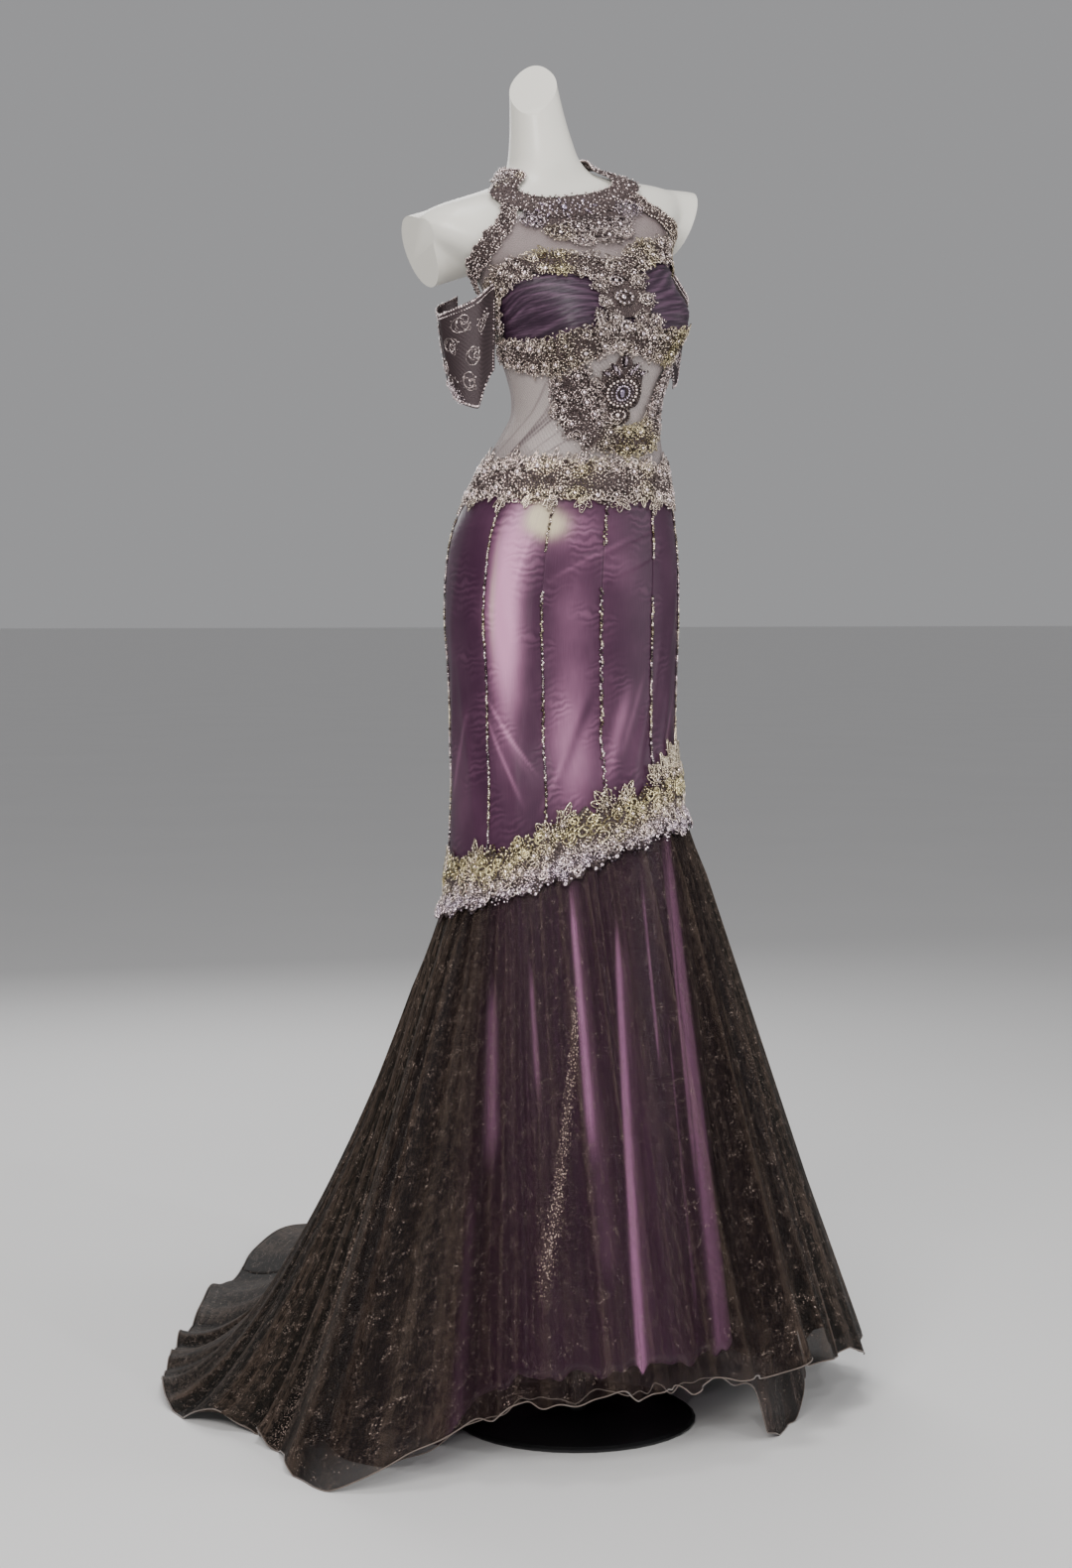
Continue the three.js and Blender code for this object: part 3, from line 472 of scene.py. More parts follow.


# %% [markdown]
# ## Finishes of the cloth
# The hips are satin under one layer of shot organza, so their colour drifts between plum and
# lilac, mostly by painted highlights and painted shade, and carries faint water lines where the
# two weaves cross. The flare is organza: dark, half see-through and dusted with glitter, with
# painted highlights on its crests and gathers. Its lining carries painted pink highlights where
# light falls through, and the net is half clear. The chiffon has painted highlights on its ridges
# and painted shade between them. Each finish reads the sheet's UV map, in metres, and the tones
# that are painted on the sheet's vertices.


# %% Cloth finishes
def satin_finish():
    f = Finish("satin_plum", roughness=0.36, specular_ior_level=0.22)
    uv = f.uv()
    cloud = f.noise(uv, 9, 3, 0.6)
    water = f.add("TexWave", {"wave_type": "BANDS", "bands_direction": "Y", "wave_profile": "SIN"},
                  {"Vector": uv, "Scale": 34, "Distortion": 9, "Detail": 2.5, "Detail Scale": 1.2},
                  "Fac")
    veil = f.noise(f.stretched(uv, 240, 12), 3, 2, 0.6)
    patch = f.noise(uv, 14, 2).band(0.46, 0.62)
    # The light tone is painted light: painted highlights where high, painted shade where low.
    light = f.attribute("light")
    share = (light + (cloud - 0.5) * 0.3 + (water - 0.4) * patch * (0.09 + light * 0.26)
             + (veil - 0.5) * (0.05 + light * 0.2))
    base = f.mix(share.band(-0.1, 1.0), (0.034, 0.010, 0.028), (0.60, 0.27, 0.45))
    # The gold tone is a painted golden sheen, broken by the veil grain.
    glint = f.attribute("gold") * (0.55 + veil * 0.6)
    f.set("Base Color", f.mix(glint.band(0, 1), base, (0.60, 0.52, 0.36)))
    f.set("Roughness", 0.32 + veil * 0.14)
    f.bump(water * patch * 0.5 + veil * 0.5, 0.22, 0.0012)
    return f.material


def organza_finish(name, dark, pale, plum, clear, closed):
    """clear and closed are the alpha of the clearest and of the densest cloth."""
    f = Finish(name, roughness=0.55, specular_ior_level=0.12)
    uv = f.uv()
    streak = f.noise(f.stretched(uv, 90, 2.2), 4, 3, 0.6)
    cloud = f.noise(uv, 7, 3, 0.6)
    fibre = f.noise(f.stretched(uv, 700, 90), 1, 2, 0.6)
    speck = f.add("TexVoronoi", {"feature": "F1"}, {"Vector": uv, "Scale": 340}, "Distance")
    chance = f.noise(uv, 60, 3, 0.7).band(0.46, 0.70)
    glitter = (1 - speck.band(0.12, 0.3)) * chance
    crinkle = f.noise(f.stretched(uv, 26, 15), 3, 4, 0.62, 1.6)
    vein = (crinkle - 0.5).maths("ABSOLUTE", crinkle - 0.5)
    vein = (1 - vein.band(0.0, 0.045)) * chance
    # The crest tone paints highlights on the crests of the flutes and ridges; the rest is streak,
    # cloud, crinkle and fibre noise.
    share = (streak * 0.9 + cloud * 0.5 + crinkle * 1.15 + f.attribute("crest") * 0.4 + fibre * 0.4
             - 1.47)
    share = share.band(0, 0.9)
    base = f.mix(f.attribute("core"), f.mix(share, dark, pale), f.mix(share, plum, pale))
    base = f.mix(vein * 0.5, base, (0.20, 0.145, 0.12))
    # The gold tone paints golden highlights on the gathers, broken into specks.
    dust = (1 - speck.band(0.2, 0.42)) * fibre.band(0.3, 0.6)
    gold = (f.attribute("gold") * (0.25 + dust * 1.1)).band(0.12, 0.9)
    base = f.mix(gold, base, (0.46, 0.34, 0.29))
    f.set("Base Color", f.mix(glitter * 0.75, base, (0.60, 0.47, 0.40)))
    f.set("Roughness", 0.58 - glitter * 0.35)
    # The organza is made clearer where the lining's painted pink highlights lie, and denser under
    # its painted golden highlights.
    f.set("Alpha", closed - f.attribute("core") * (closed - clear) + share * 0.06 + glitter * 0.2
          + vein * 0.12 + gold * 0.4 - f.attribute("glow") * clear * 0.55)
    f.bump(streak + vein * 0.4 + crinkle * 0.25, 0.35, 0.0018)
    return f.material


def lining_finish():
    f = Finish("lining_satin", roughness=0.3, specular_ior_level=0.4)
    uv = f.uv()
    streak = f.noise(f.stretched(uv, 40, 1.4), 4, 2, 0.5)
    thread = f.noise(f.stretched(uv, 260, 7), 3, 3, 0.65)
    # The glow tone paints pink highlights on the lining, broken by its threads.
    glow = (f.attribute("glow") * (0.5 + thread * 1.05)).band(0.1, 0.95)
    base = f.mix(streak, (0.024, 0.007, 0.019), (0.125, 0.042, 0.10))
    f.set("Base Color", f.mix(glow, base, (0.97, 0.42, 0.78)))
    f.bump(streak, 0.2, 0.002)
    return f.material


def net_finish(name, dark, pale, see_through):
    f = Finish(name, roughness=0.65, specular_ior_level=0.2)
    uv = f.uv()
    threads = f.add("TexWave", {"wave_type": "BANDS", "bands_direction": "DIAGONAL"},
                    {"Vector": uv, "Scale": 110, "Distortion": 1.5, "Detail": 1}, "Fac")
    fold = f.attribute("crest")
    cloud = f.noise(uv, 18, 2)
    share = (fold * 0.7 + threads * 0.3 + cloud * 0.3 - 0.2).band(0, 1)
    f.set("Base Color", f.mix(share, pale, dark))
    f.set("Alpha", see_through + share * 0.34)
    f.bump(threads, 0.15, 0.0006)
    return f.material


def chiffon_finish():
    f = Finish("chiffon_aubergine", roughness=0.42, specular_ior_level=0.35)
    uv = f.uv()
    fibre = f.noise(f.stretched(uv, 14, 130), 4, 3, 0.6)
    crest = f.attribute("crest")
    # The crest tone paints highlights on the ridges and shade in the troughs between them.
    share = (crest * 0.7 + fibre * 0.7 - 0.4).band(0, 1)
    f.set("Base Color", f.mix(share, (0.020, 0.008, 0.019), (0.17, 0.092, 0.15)))
    f.set("Roughness", 0.36 + fibre * 0.2)
    f.bump(fibre, 0.5, 0.0012)
    return f.material


SATIN = satin_finish()
OUTER_ORGANZA = organza_finish("organza_taupe", (0.005, 0.0035, 0.0024), (0.072, 0.050, 0.038),
                               (0.012, 0.006, 0.007), 0.24, 0.9)
UNDER_ORGANZA = organza_finish("organza_smoke", (0.008, 0.006, 0.005), (0.075, 0.052, 0.045),
                               (0.016, 0.007, 0.010), 0.13, 0.84)
LINING = lining_finish()
BODY_NET = net_finish("net_body", (0.11, 0.082, 0.088), (0.44, 0.375, 0.37), 0.42)
YOKE_NET = net_finish("net_yoke", (0.07, 0.048, 0.055), (0.26, 0.20, 0.205), 0.44)
SLEEVE_NET = net_finish("net_sleeve", (0.022, 0.014, 0.016), (0.060, 0.040, 0.044), 0.72)
CHIFFON = chiffon_finish()
print("cloth finishes:", len(bpy.data.materials))

# %% [markdown]
# ## The dress form and its stand
# A display torso is a moulded shell with a neck and two arm stumps cut flat. The torso is a
# stack of rings from the formula, the stumps are short rods flattened a little from front to
# back, and a voxel remesh welds them into one skin that can be smoothed where they meet. Bisect
# then cuts the neck and the stumps flat, after the smoothing, so that the cuts stay crisp. The
# stand keeps its solids.

# %% The form
NECK_CUT = ((-38, 40, 1642), (-0.557, -0.557, 0.616))
STUMPS = [((-92, 48, 1466), (-187, 52, 1436), 44, 45), ((84, 50, 1492), (181, 54, 1492), 44, 43)]
STUMP_OVER, STUMP_FLAT, STUMP_LEAN = 1.25, 0.8, 22  # share of length, share of depth, degrees
FORM_EASE = 1.7
VOXEL = 0.004


def form_finish():
    f = Finish("moulded_white", roughness=0.4, specular_ior_level=0.45, coat_weight=0.12)
    where = f.place()
    cloud = f.noise(where, 5, 2)
    f.set("Base Color", f.mix(cloud, (0.66, 0.64, 0.575), (0.73, 0.71, 0.65)))
    f.set("Roughness", 0.36 + f.noise(where, 60, 2) * 0.12)
    f.bump(f.noise(where, 180, 2), 0.06, 0.0006)
    return f.material


def closed_rings(rings):
    """Lays a capped cylinder's vertices on rings of points, from the lowest to the highest."""
    count = len(rings[0])
    bpy.ops.mesh.primitive_grid_add(x_subdivisions=count, y_subdivisions=len(rings) - 1, size=1)
    piece = bpy.context.object
    flat = np.array([v.co for v in piece.data.vertices])
    col = np.round((flat[:, 0] + 0.5) * count).astype(int) % count
    row = np.round((flat[:, 1] + 0.5) * (len(rings) - 1)).astype(int)
    points = np.array(rings)[row, col] * MM
    piece.data.vertices.foreach_set("co", points.astype(np.float32).ravel())
    bpy.ops.object.mode_set(mode="EDIT")
    bpy.ops.mesh.select_all(action="SELECT")
    bpy.ops.mesh.remove_doubles(threshold=1e-6)
    bpy.ops.mesh.select_all(action="DESELECT")
    bpy.ops.mesh.select_non_manifold()
    bpy.ops.mesh.fill_holes(sides=0)
    bpy.ops.mesh.select_all(action="SELECT")
    bpy.ops.mesh.normals_make_consistent(inside=False)
    bpy.ops.object.mode_set(mode="OBJECT")
    return piece


def cut_flat(point, normal):
    bpy.ops.object.mode_set(mode="EDIT")
    bpy.ops.mesh.select_all(action="SELECT")
    bpy.ops.mesh.bisect(plane_co=[x * MM for x in point], plane_no=normal, use_fill=True,
                        clear_outer=True)
    bpy.ops.object.mode_set(mode="OBJECT")


def build_form():
    turns = np.arange(0, 360, 2.5)
    heights = [*np.arange(802, 1200, 12), *np.arange(1200, 1560, 5), *np.arange(1560, 1701, 14)]
    rings = [on_form(turns, np.full(turns.shape, h), -FORM_EASE) for h in heights]
    low = rings[0].mean(axis=0)
    rings.insert(0, low + (rings[0] - low) * 0.93 - (0, 0, 12))
    torso = closed_rings(rings)
    for root, end, root_radius, end_radius in STUMPS:
        root, end = Vector(root) * MM, Vector(end) * MM
        along = end - root
        bpy.ops.mesh.primitive_cone_add(
            vertices=64, radius1=root_radius * MM, radius2=end_radius * MM,
            depth=along.length * STUMP_OVER, location=root + along * (STUMP_OVER / 2),
            rotation=along.to_track_quat("Z", "Y").to_euler())
        stump = bpy.context.object
        bpy.ops.object.transform_apply(location=True, rotation=True, scale=True)
        for vertex in stump.data.vertices:
            vertex.co.y = root.y + (vertex.co.y - root.y) * STUMP_FLAT
    bpy.ops.object.select_all(action="DESELECT")
    for piece in [o for o in bpy.context.scene.objects if o.name.startswith(("Grid", "Cone"))]:
        piece.select_set(True)
    bpy.context.view_layer.objects.active = torso
    bpy.ops.object.join()
    torso.data.remesh_voxel_size = VOXEL
    bpy.ops.object.voxel_remesh()
    soften_shoulders(torso)
    for root, end, _, _ in STUMPS:
        side, lean = math.copysign(1, end[0]), math.radians(STUMP_LEAN)
        cut_flat(end, (side * math.cos(lean), 0, -math.sin(lean)))
    cut_flat(*NECK_CUT)
    torso.data.shade_smooth()
    bpy.ops.object.shade_smooth_by_angle(angle=math.radians(38))
    finish_piece(torso, "form_skin", form_finish())
    return hide_behind(torso, "form_torso")


def soften_shoulders(piece):
    group = piece.vertex_groups.new(name="shoulders")
    for vertex in piece.data.vertices:
        x, _, z = vertex.co
        reach = min(1.0, max(0.0, (abs(x + 0.01) - 0.07) / 0.04))
        high = min(1.0, max(0.0, (z - 1.40) / 0.03))
        group.add([vertex.index], 0.12 + 0.88 * reach * high, "REPLACE")
    smooth = piece.modifiers.new("soften", "SMOOTH")
    smooth.factor = 0.6
    smooth.iterations = 26
    smooth.vertex_group = group.name
    bpy.ops.object.modifier_apply(modifier=smooth.name)


def steel_finish():
    f = Finish("coated_steel", metallic=0.75, roughness=0.4)
    where = f.place()
    grain = f.noise(where, 420, 2)
    f.set("Base Color", f.mix(f.noise(where, 12, 2), (0.02, 0.02, 0.022), (0.04, 0.04, 0.042)))
    f.set("Roughness", 0.34 + grain * 0.16)
    f.bump(grain, 0.2, 0.0004)
    return f.material


form_skin = build_form()
print("form faces:", len(form_skin.data.polygons))
STEEL = steel_finish()
for node in ("stand_base", "stand_pole", "stand_socket"):
    frame["nodes"][node].data.materials.clear()
    frame["nodes"][node].data.materials.append(STEEL)

# %% [markdown]
# ## Fitted hips
# Ten gores run from the waist seam to the slanted join. A fitted satin skirt on a form still
# pulls a little: soft creases fan down from the hip and a few run up from the join. Each crease
# is a long soft ridge with its own place, slant, length and height, on the hidden sides too.
# Satin shines far more than such low ridges show, so its highlights and shade, the narrow
# highlights and shade beside the creases and a golden sheen are painted light, laid by place.

# %% Hip gores
HIP_SEAMS = [-180, -145, -110, -62, -28, 0, 28, 62, 110, 145, 180]
WAIST_SEAM, SEAM_GAP = 1158, 0.15
HIP_DEGREE, WAIST_DEGREE = 2.2, 1.6  # mm to a degree of turn
FRONT_CELLS, HIDDEN_CELLS = (1.3, 126), (0.8, 90)  # columns to a degree, and rows
# turn, height, run in degrees a mm, half length mm, half width mm, rise mm
CREASES = [
    (-22, 800, -0.10, 110, 7, 1.5), (-14, 850, -0.13, 120, 6, 1.2), (-38, 900, 0.05, 150, 9, 1.3),
    (12, 800, 0.16, 90, 8, 1.7), (22, 850, 0.12, 110, 7, 1.3), (38, 830, 0.11, 100, 8, 1.5),
    (8, 1085, 0.9, 22, 7, 1.3), (16, 1060, 1.0, 20, 6, 1.1), (4, 1108, 0.8, 18, 6, 1.0),
    (-46, 820, -0.06, 120, 9, 1.2), (-80, 840, -0.08, 120, 9, 1.4), (-95, 930, 0.06, 140, 10, 1.2),
    (-128, 860, 0.08, 120, 9, 1.4), (-160, 900, -0.07, 140, 10, 1.5), (80, 850, 0.1, 110, 8, 1.4),
    (100, 960, -0.08, 130, 10, 1.2), (130, 860, -0.09, 120, 9, 1.4), (160, 930, 0.08, 130, 10, 1.3),
    (52, 1010, 0.12, 90, 8, 1.0), (-52, 1040, -0.1, 90, 9, 0.9), (176, 1040, 0.9, 24, 8, 1.2),
    (-172, 1070, -0.8, 22, 7, 1.0), (60, 780, 0.12, 80, 7, 1.3), (-8, 950, 0.03, 170, 9, 0.8),
]
# painted highlights of the satin: turn, height, half width in degrees, half height in mm, strength
SATIN_GLOW = [(-49, 1004, 9, 112, 1.12), (-46, 840, 9, 70, 0.04), (-20, 1104, 22, 26, 0.26),
              (-14, 850, 11, 90, 0.42), (-12, 1010, 11, 70, 0.14), (16, 850, 8, 90, 0.06),
              (-88, 800, 14, 80, 0.1), (-40, 1090, 9, 40, 0.3), (100, 930, 12, 150, 0.35),
              (140, 850, 16, 130, 0.4), (178, 1000, 16, 110, 0.4), (-130, 900, 14, 150, 0.4),
              (-160, 1080, 14, 60, 0.3), (8, 1060, 10, 22, 0.12)]
# a painted golden sheen, in the same columns
HIP_GOLD_SHEEN = [(-36, 1118, 8, 20, 1.0), (-26, 1106, 9, 16, 0.9), (-56, 1020, 2.5, 75, 0.45)]
# painted highlights beside the creases, painted shade where the strength is below 0: turn, height,
# run in degrees a mm, half length mm, half width in degrees, strength
CREASE_LIGHT_AND_SHADE = [(-48, 857, -0.33, 40, 1.3, 0.30), (-52, 828, -0.21, 46, 1.2, 0.26),
         (-44, 838, -0.26, 30, 2.4, 0.10), (7, 857, 0.11, 52, 3.2, 0.26),
         (-11, 857, 0.15, 44, 2.6, -0.20), (-24, 800, 0.20, 34, 1.6, 0.12),
         (16, 880, 0.14, 44, 1.6, 0.12), (-40, 1070, 0.12, 50, 1.2, 0.12),
         (-6, 1068, 0.7, 24, 2.0, 0.12), (44, 850, 0.2, 50, 2.0, 0.14),
         (92, 850, -0.2, 60, 2.4, 0.2), (-90, 830, 0.2, 50, 2.0, 0.14),
         (128, 880, 0.2, 60, 2.4, 0.2), (-130, 840, -0.2, 60, 2.4, 0.2),
         (165, 850, 0.16, 60, 2.4, 0.2)]


def ridges_sum(turn, height, rows, degree=1.0):
    """Long soft ridges added up. degree is 1, or the mm to a degree if the widths are in mm."""
    total = np.zeros(np.shape(turn))
    for at, level, run, half, wide, high in rows:
        away = wrap_turn(turn - at - run * (height - level)) * degree / wide
        total += high * np.exp(-away**2 - ((height - level) / half) ** 4)
    return total


def spots_sum(turn, height, rows):
    """Soft round spots added up."""
    return sum(strong * np.exp(-(wrap_turn(turn - at) / wide) ** 2 - ((height - level) / tall) ** 2)
               for at, level, wide, tall, strong in rows)


def crease_rise(turn, height):
    return ridges_sum(turn, height, CREASES, HIP_DEGREE)


# Painted highlights and shade of the satin, 0 to 1.
def satin_light(turn, height):
    glow = 0.01 + spots_sum(turn, height, SATIN_GLOW) + ridges_sum(turn, height, CREASE_LIGHT_AND_SHADE)
    return np.clip(glow, 0, 1)


# A painted golden sheen on the satin, 0 to 1.
def hip_gold_sheen(turn, height):
    return np.clip(spots_sum(turn, height, HIP_GOLD_SHEEN), 0, 1)


def build_hips():
    for k, (start, end) in enumerate(zip(HIP_SEAMS, HIP_SEAMS[1:])):
        side, place = ("right", 5 - k) if start < 0 else ("left", k - 4)
        spot = between(start, end, shifted(join_height, JOIN_GAP / 2),
                       flat_edge(WAIST_SEAM - SEAM_GAP))

        def lay(u, v):
            turn, height = spot(u, v)
            edge = np.clip(np.minimum(u, 1 - u) * 7, 0, 1) * np.clip((1 - v) * 9, 0, 1)
            return on_form(turn, height, CLOTH_LIFT + crease_rise(turn, height) * edge)

        name = f"hip_gore_{side}_{place}"
        dense, rows = FRONT_CELLS if abs(start + end) < 100 else HIDDEN_CELLS
        # The light tone paints highlights and shade on each gore, the gold tone a golden sheen.
        gore = cloth(name + "_satin", int((end - start) * dense), rows, lay, SATIN,
                     thick=0.7, painted={
                         "light": lambda u, v: satin_light(*spot(u, v)),
                         "gold": lambda u, v: hip_gold_sheen(*spot(u, v))})
        hide_behind(gore, name)


build_hips()

# %% [markdown]
# ## Net, chiffon cups and yoke
# The midriff, yoke and back are one layer of fine net over the form. The net is pulled to the
# waist, so a few slanting folds cross it. The cups are chiffon laid over in many small ridges
# that fan from the centre front; the ridges are uneven, and flatten where they are sewn down.

# %% Bodice cloth
EDGE_ROWS = {
    "yoke_top": [(-100, 1419), (-84, 1436), (-64, 1450), (-42, 1469), (-30, 1484), (-6, 1478),
                 (10, 1482), (22, 1486), (40, 1462), (60, 1448), (82, 1440), (100, 1424)],
    "sweetheart": [(-100, 1392), (-84, 1407), (-66, 1424), (-44, 1430), (-20, 1426), (-2, 1408),
                   (16, 1426), (40, 1434), (62, 1432), (84, 1416), (100, 1398)],
    "underbust": [(-180, 1330), (-100, 1326), (-80, 1316), (-55, 1314), (-29, 1326), (-6, 1330),
                  (14, 1322), (36, 1320), (62, 1324), (100, 1334), (180, 1330)],
    "back_top": [(100, 1396), (130, 1384), (180, 1374), (230, 1384), (260, 1392)],
}
EDGES = {name: Curve(*zip(*rows)) for name, rows in EDGE_ROWS.items()}
# turn, height, run in degrees a mm, half length, half width, depth
NET_FOLDS = [(-62, 1225, 0.42, 60, 2.4, 0.9), (-55, 1235, 0.5, 58, 1.6, 0.8),
             (-48, 1240, 0.55, 55, 2.2, 0.9), (-40, 1222, 0.62, 44, 1.4, 0.7),
             (-30, 1212, 0.8, 38, 1.8, 0.8), (-70, 1210, 0.3, 50, 3.0, 0.9),
             (-38, 1262, 0.5, 40, 1.5, 0.6), (-76, 1240, 0.36, 60, 2.0, 0.7),
             (-20, 1196, 0.9, 26, 1.4, 0.6), (62, 1230, -0.3, 55, 3, 0.9),
             (78, 1250, -0.35, 50, 2.4, 0.8), (70, 1205, -0.4, 36, 1.6, 0.7),
             (130, 1250, 0.3, 60, 3, 0.9), (-130, 1250, -0.3, 60, 3, 0.9),
             (165, 1230, 0.25, 70, 3, 0.8), (-160, 1235, -0.28, 70, 3, 0.8)]


def net_crest(turn, height):
    return np.clip(ridges_sum(turn, height, NET_FOLDS, WAIST_DEGREE), 0, 1)


def net_panel(name, start, end, low, high, cols, rows, material):
    spot = between(start, end, low, high)

    def lay(u, v):
        turn, height = spot(u, v)
        return on_form(turn, height, CLOTH_LIFT + 1.1 * net_crest(turn, height))

    panel = cloth(name + "_cloth", cols, rows, lay, material, thick=0.4,
                  painted={"crest": lambda u, v: net_crest(*spot(u, v))})
    return hide_behind(panel, name)


def ruche(side, u, v):
    """Height of the ridges over a cup, 0 to 1. u runs across the body and v upwards."""
    across = u if side == "right" else 1 - u
    warp = 0.5 * np.sin(4.1 * across + 5 * v) + 0.22 * np.sin(9 * across - 11 * v + 1)
    ridge = 0.5 - 0.5 * np.cos(2 * np.pi * (7.5 * v + 1.6 * across**2 + warp))
    small = 0.5 - 0.5 * np.cos(2 * np.pi * (16 * v - 2.6 * across + 1.3 * warp + 0.4))
    tiny = 0.5 - 0.5 * np.cos(2 * np.pi * (27 * v + 3.1 * across - 0.9 * warp))
    where = np.sin(5.3 * across + 6.1 * v + 0.7) ** 2
    edge_u, edge_v = np.minimum(u, 1 - u), np.minimum(v, 1 - v)
    fade = np.clip((edge_u - 0.03) / 0.14, 0, 1) * np.clip((edge_v - 0.03) / 0.12, 0, 1)
    return (0.5 * ridge**1.3 * (0.35 + 0.65 * where) + 0.3 * small * (1 - 0.6 * where)
            + 0.2 * tiny) * fade


def build_cup(side, start, end):
    spot = between(start, end, shifted(EDGES["underbust"], SEAM_GAP),
                   shifted(EDGES["sweetheart"], -SEAM_GAP))

    def lay(u, v):
        return on_form(*spot(u, v), CLOTH_LIFT + 2.4 * ruche(side, u, v))

    cup = cloth(f"bust_cup_{side}_chiffon", 104, 96, lay, CHIFFON, ease=1.25,
                painted={"crest": lambda u, v: ruche(side, u, v)})
    return hide_behind(cup, f"bust_cup_{side}")


waist_line = flat_edge(WAIST_SEAM + SEAM_GAP)
net_panel("midriff_net", -100, 100, waist_line, shifted(EDGES["underbust"], -SEAM_GAP), 150, 90,
          BODY_NET)
net_panel("yoke_net", -100, 100, shifted(EDGES["sweetheart"], SEAM_GAP), EDGES["yoke_top"], 150,
          36, YOKE_NET)
net_panel("back_net_left", 100, 180, waist_line, EDGES["back_top"], 60, 90, BODY_NET)
net_panel("back_net_right", 180, 260, waist_line, EDGES["back_top"], 60, 90, BODY_NET)
build_cup("right", -100, 0)
build_cup("left", 0, 100)

# %% [markdown]
# ## Off-shoulder sleeves
# Each sleeve is a short net flounce that leaves the front of the armhole, runs round the missing
# arm and comes back behind it. It hangs free, so it is a curved sheet with three soft folds and
# a lower edge that narrows to a point. The left one is the right one mirrored, a little higher.

# %% Sleeves
SLEEVE = curves("along x y upper lower", [
    (0, -124.7, -24, 1396, 1292), (0.2, -148, -22, 1378, 1246), (0.5, -180, 12, 1358, 1262),
    (0.8, -152, 62, 1376, 1284), (1, -127, 68, 1388, 1322)])
LEFT_SLEEVE = {"rise": 36, "back": 24, "slim": 0.86, "start": 129.8, "from": -124.7}


def sleeve_base(s, v):
    low, high = SLEEVE["lower"](s), SLEEVE["upper"](s)
    inside = np.clip(s, 0, 1)
    pull = 0.42 * np.maximum(0, 1 - v) ** 1.5 * np.sin(np.pi * inside)
    folds = 3 * np.sin(6 * np.pi * s) * (1 - 0.5 * v) + 1.0 * np.sin(21 * s + 2) * (1 - v)
    x = SLEEVE["x"](s) * (1 - pull) - 134 * pull
    y = SLEEVE["y"](s) * (1 - pull) + 14 * pull
    return np.stack([x - folds, y, low + (high - low) * v], -1)


def sleeve_skin(side):
    """A surface of turn-like u and height-like v, seen from outside, for cloth and beads."""
    def right(u, v, lift):
        s = 1 - u
        along = sleeve_base(s - 0.02, v) - sleeve_base(s + 0.02, v)
        up = sleeve_base(s, v + 0.03) - sleeve_base(s, v - 0.03)
        return sleeve_base(s, v) + unit(np.cross(along, up)) * np.asarray(lift, float)[..., None]

    def left(u, v, lift):
        p = right(1 - u, v, lift)
        x = LEFT_SLEEVE["start"] + (LEFT_SLEEVE["from"] - p[..., 0]) * LEFT_SLEEVE["slim"]
        return np.stack([x, p[..., 1] + LEFT_SLEEVE["back"], p[..., 2] + LEFT_SLEEVE["rise"]], -1)

    return right if side == "right" else left


def build_sleeve(side):
    skin = sleeve_skin(side)

    def lay(u, v):
        return skin(u, v, np.zeros(u.shape))

    sleeve = cloth(f"sleeve_{side}_net", 90, 56, lay, SLEEVE_NET, thick=0.7,
                   painted={
                       "crest": lambda u, v: 0.5 + 0.5 * np.sin(6 * np.pi * (1 - u))})
    return hide_behind(sleeve, f"sleeve_{side}")


build_sleeve("right")
build_sleeve("left")

# %% [markdown]
# ## The flare
# Below the slanted join hang three layers: a satin lining, a shorter organza layer and the outer
# organza with its train. Each is gathered into the join and opens into flutes towards the hem.
# A formula fits such cloth better than a simulation here, because the hem has to land where the
# photographed hem lies. Flutes differ in depth, small gathers fade out below the join, and a
# ripple runs along the free edge. A thin rolled hem follows each lower edge.

# %% Flare layers
HEM_COLUMNS = "turn reach rise sweep"
HEM_RIPPLES = [(4.5, 17), (3, 29), (1.5, 47)]  # mm, and waves once round
LOWEST_HEM = 0.4
OUTER_HEM = [
    (-174, 890, 0, 1.9), (-164, 757, 0, 1.9), (-147, 622, 0, 1.85), (-132, 560, 0, 1.7),
    (-119, 505, 0, 1.5), (-106, 402, 0, 1.3), (-92, 400, 0, 1.15), (-74, 425, 0, 1),
    (-64, 356, 38, 1), (-52, 292, 76, 1), (-30, 279, 95, 1), (0, 270, 100, 1), (30, 282, 95, 1),
    (55, 322, 84, 1), (74, 384, 62, 1), (88, 422, 46, 1.02), (104, 452, 18, 1.15),
    (120, 495, 0, 1.35), (135, 575, 0, 1.6), (150, 740, 0, 1.8), (162, 950, 0, 1.9),
    (174, 1118, 0, 1.9)]
UNDER_HEM = [
    (-176, 560, 0, 1.8), (-150, 470, 0, 1.7), (-120, 385, 0, 1.4), (-100, 340, 0, 1.2),
    (-82, 322, 0, 1.05), (-66, 285, 30, 1), (-50, 246, 78, 1), (-25, 232, 92, 1), (0, 228, 94, 1),
    (26, 234, 86, 1), (33, 240, 66, 1), (38, 248, 4, 1), (48, 264, 0, 1), (60, 280, 4, 1),
    (67, 288, 40, 1),
    (82, 320, 46, 1), (100, 348, 14, 1.1), (122, 385, 0, 1.35), (150, 470, 0, 1.7)]
LINING_HEM = [
    (-178, 330, 0, 1.5), (-150, 292, 0, 1.4), (-120, 246, 0, 1.2), (-100, 226, 0, 1.05),
    (-92, 214, 26, 1), (-84, 204, 0, 1), (-74, 196, 44, 1), (-58, 188, 88, 1), (-30, 184, 104, 1),
    (0, 183, 108, 1), (30, 186, 104, 1), (60, 196, 92, 1), (90, 218, 62, 1), (120, 246, 20, 1.2),
    (150, 292, 0, 1.4)]


def flute_turn(along):
    return (360 * along - 180 + 5 * np.sin(2 * np.pi * (3 * along + 0.12))
            + 2.4 * np.sin(2 * np.pi * 7 * along))


def along_at(turn):
    """The share of the way round at a turn."""
    wanted = wrap_turn(turn)
    along = (wanted + 180) / 360
    for _ in range(8):
        along = along + (wanted - flute_turn(along)) / 360
    return along


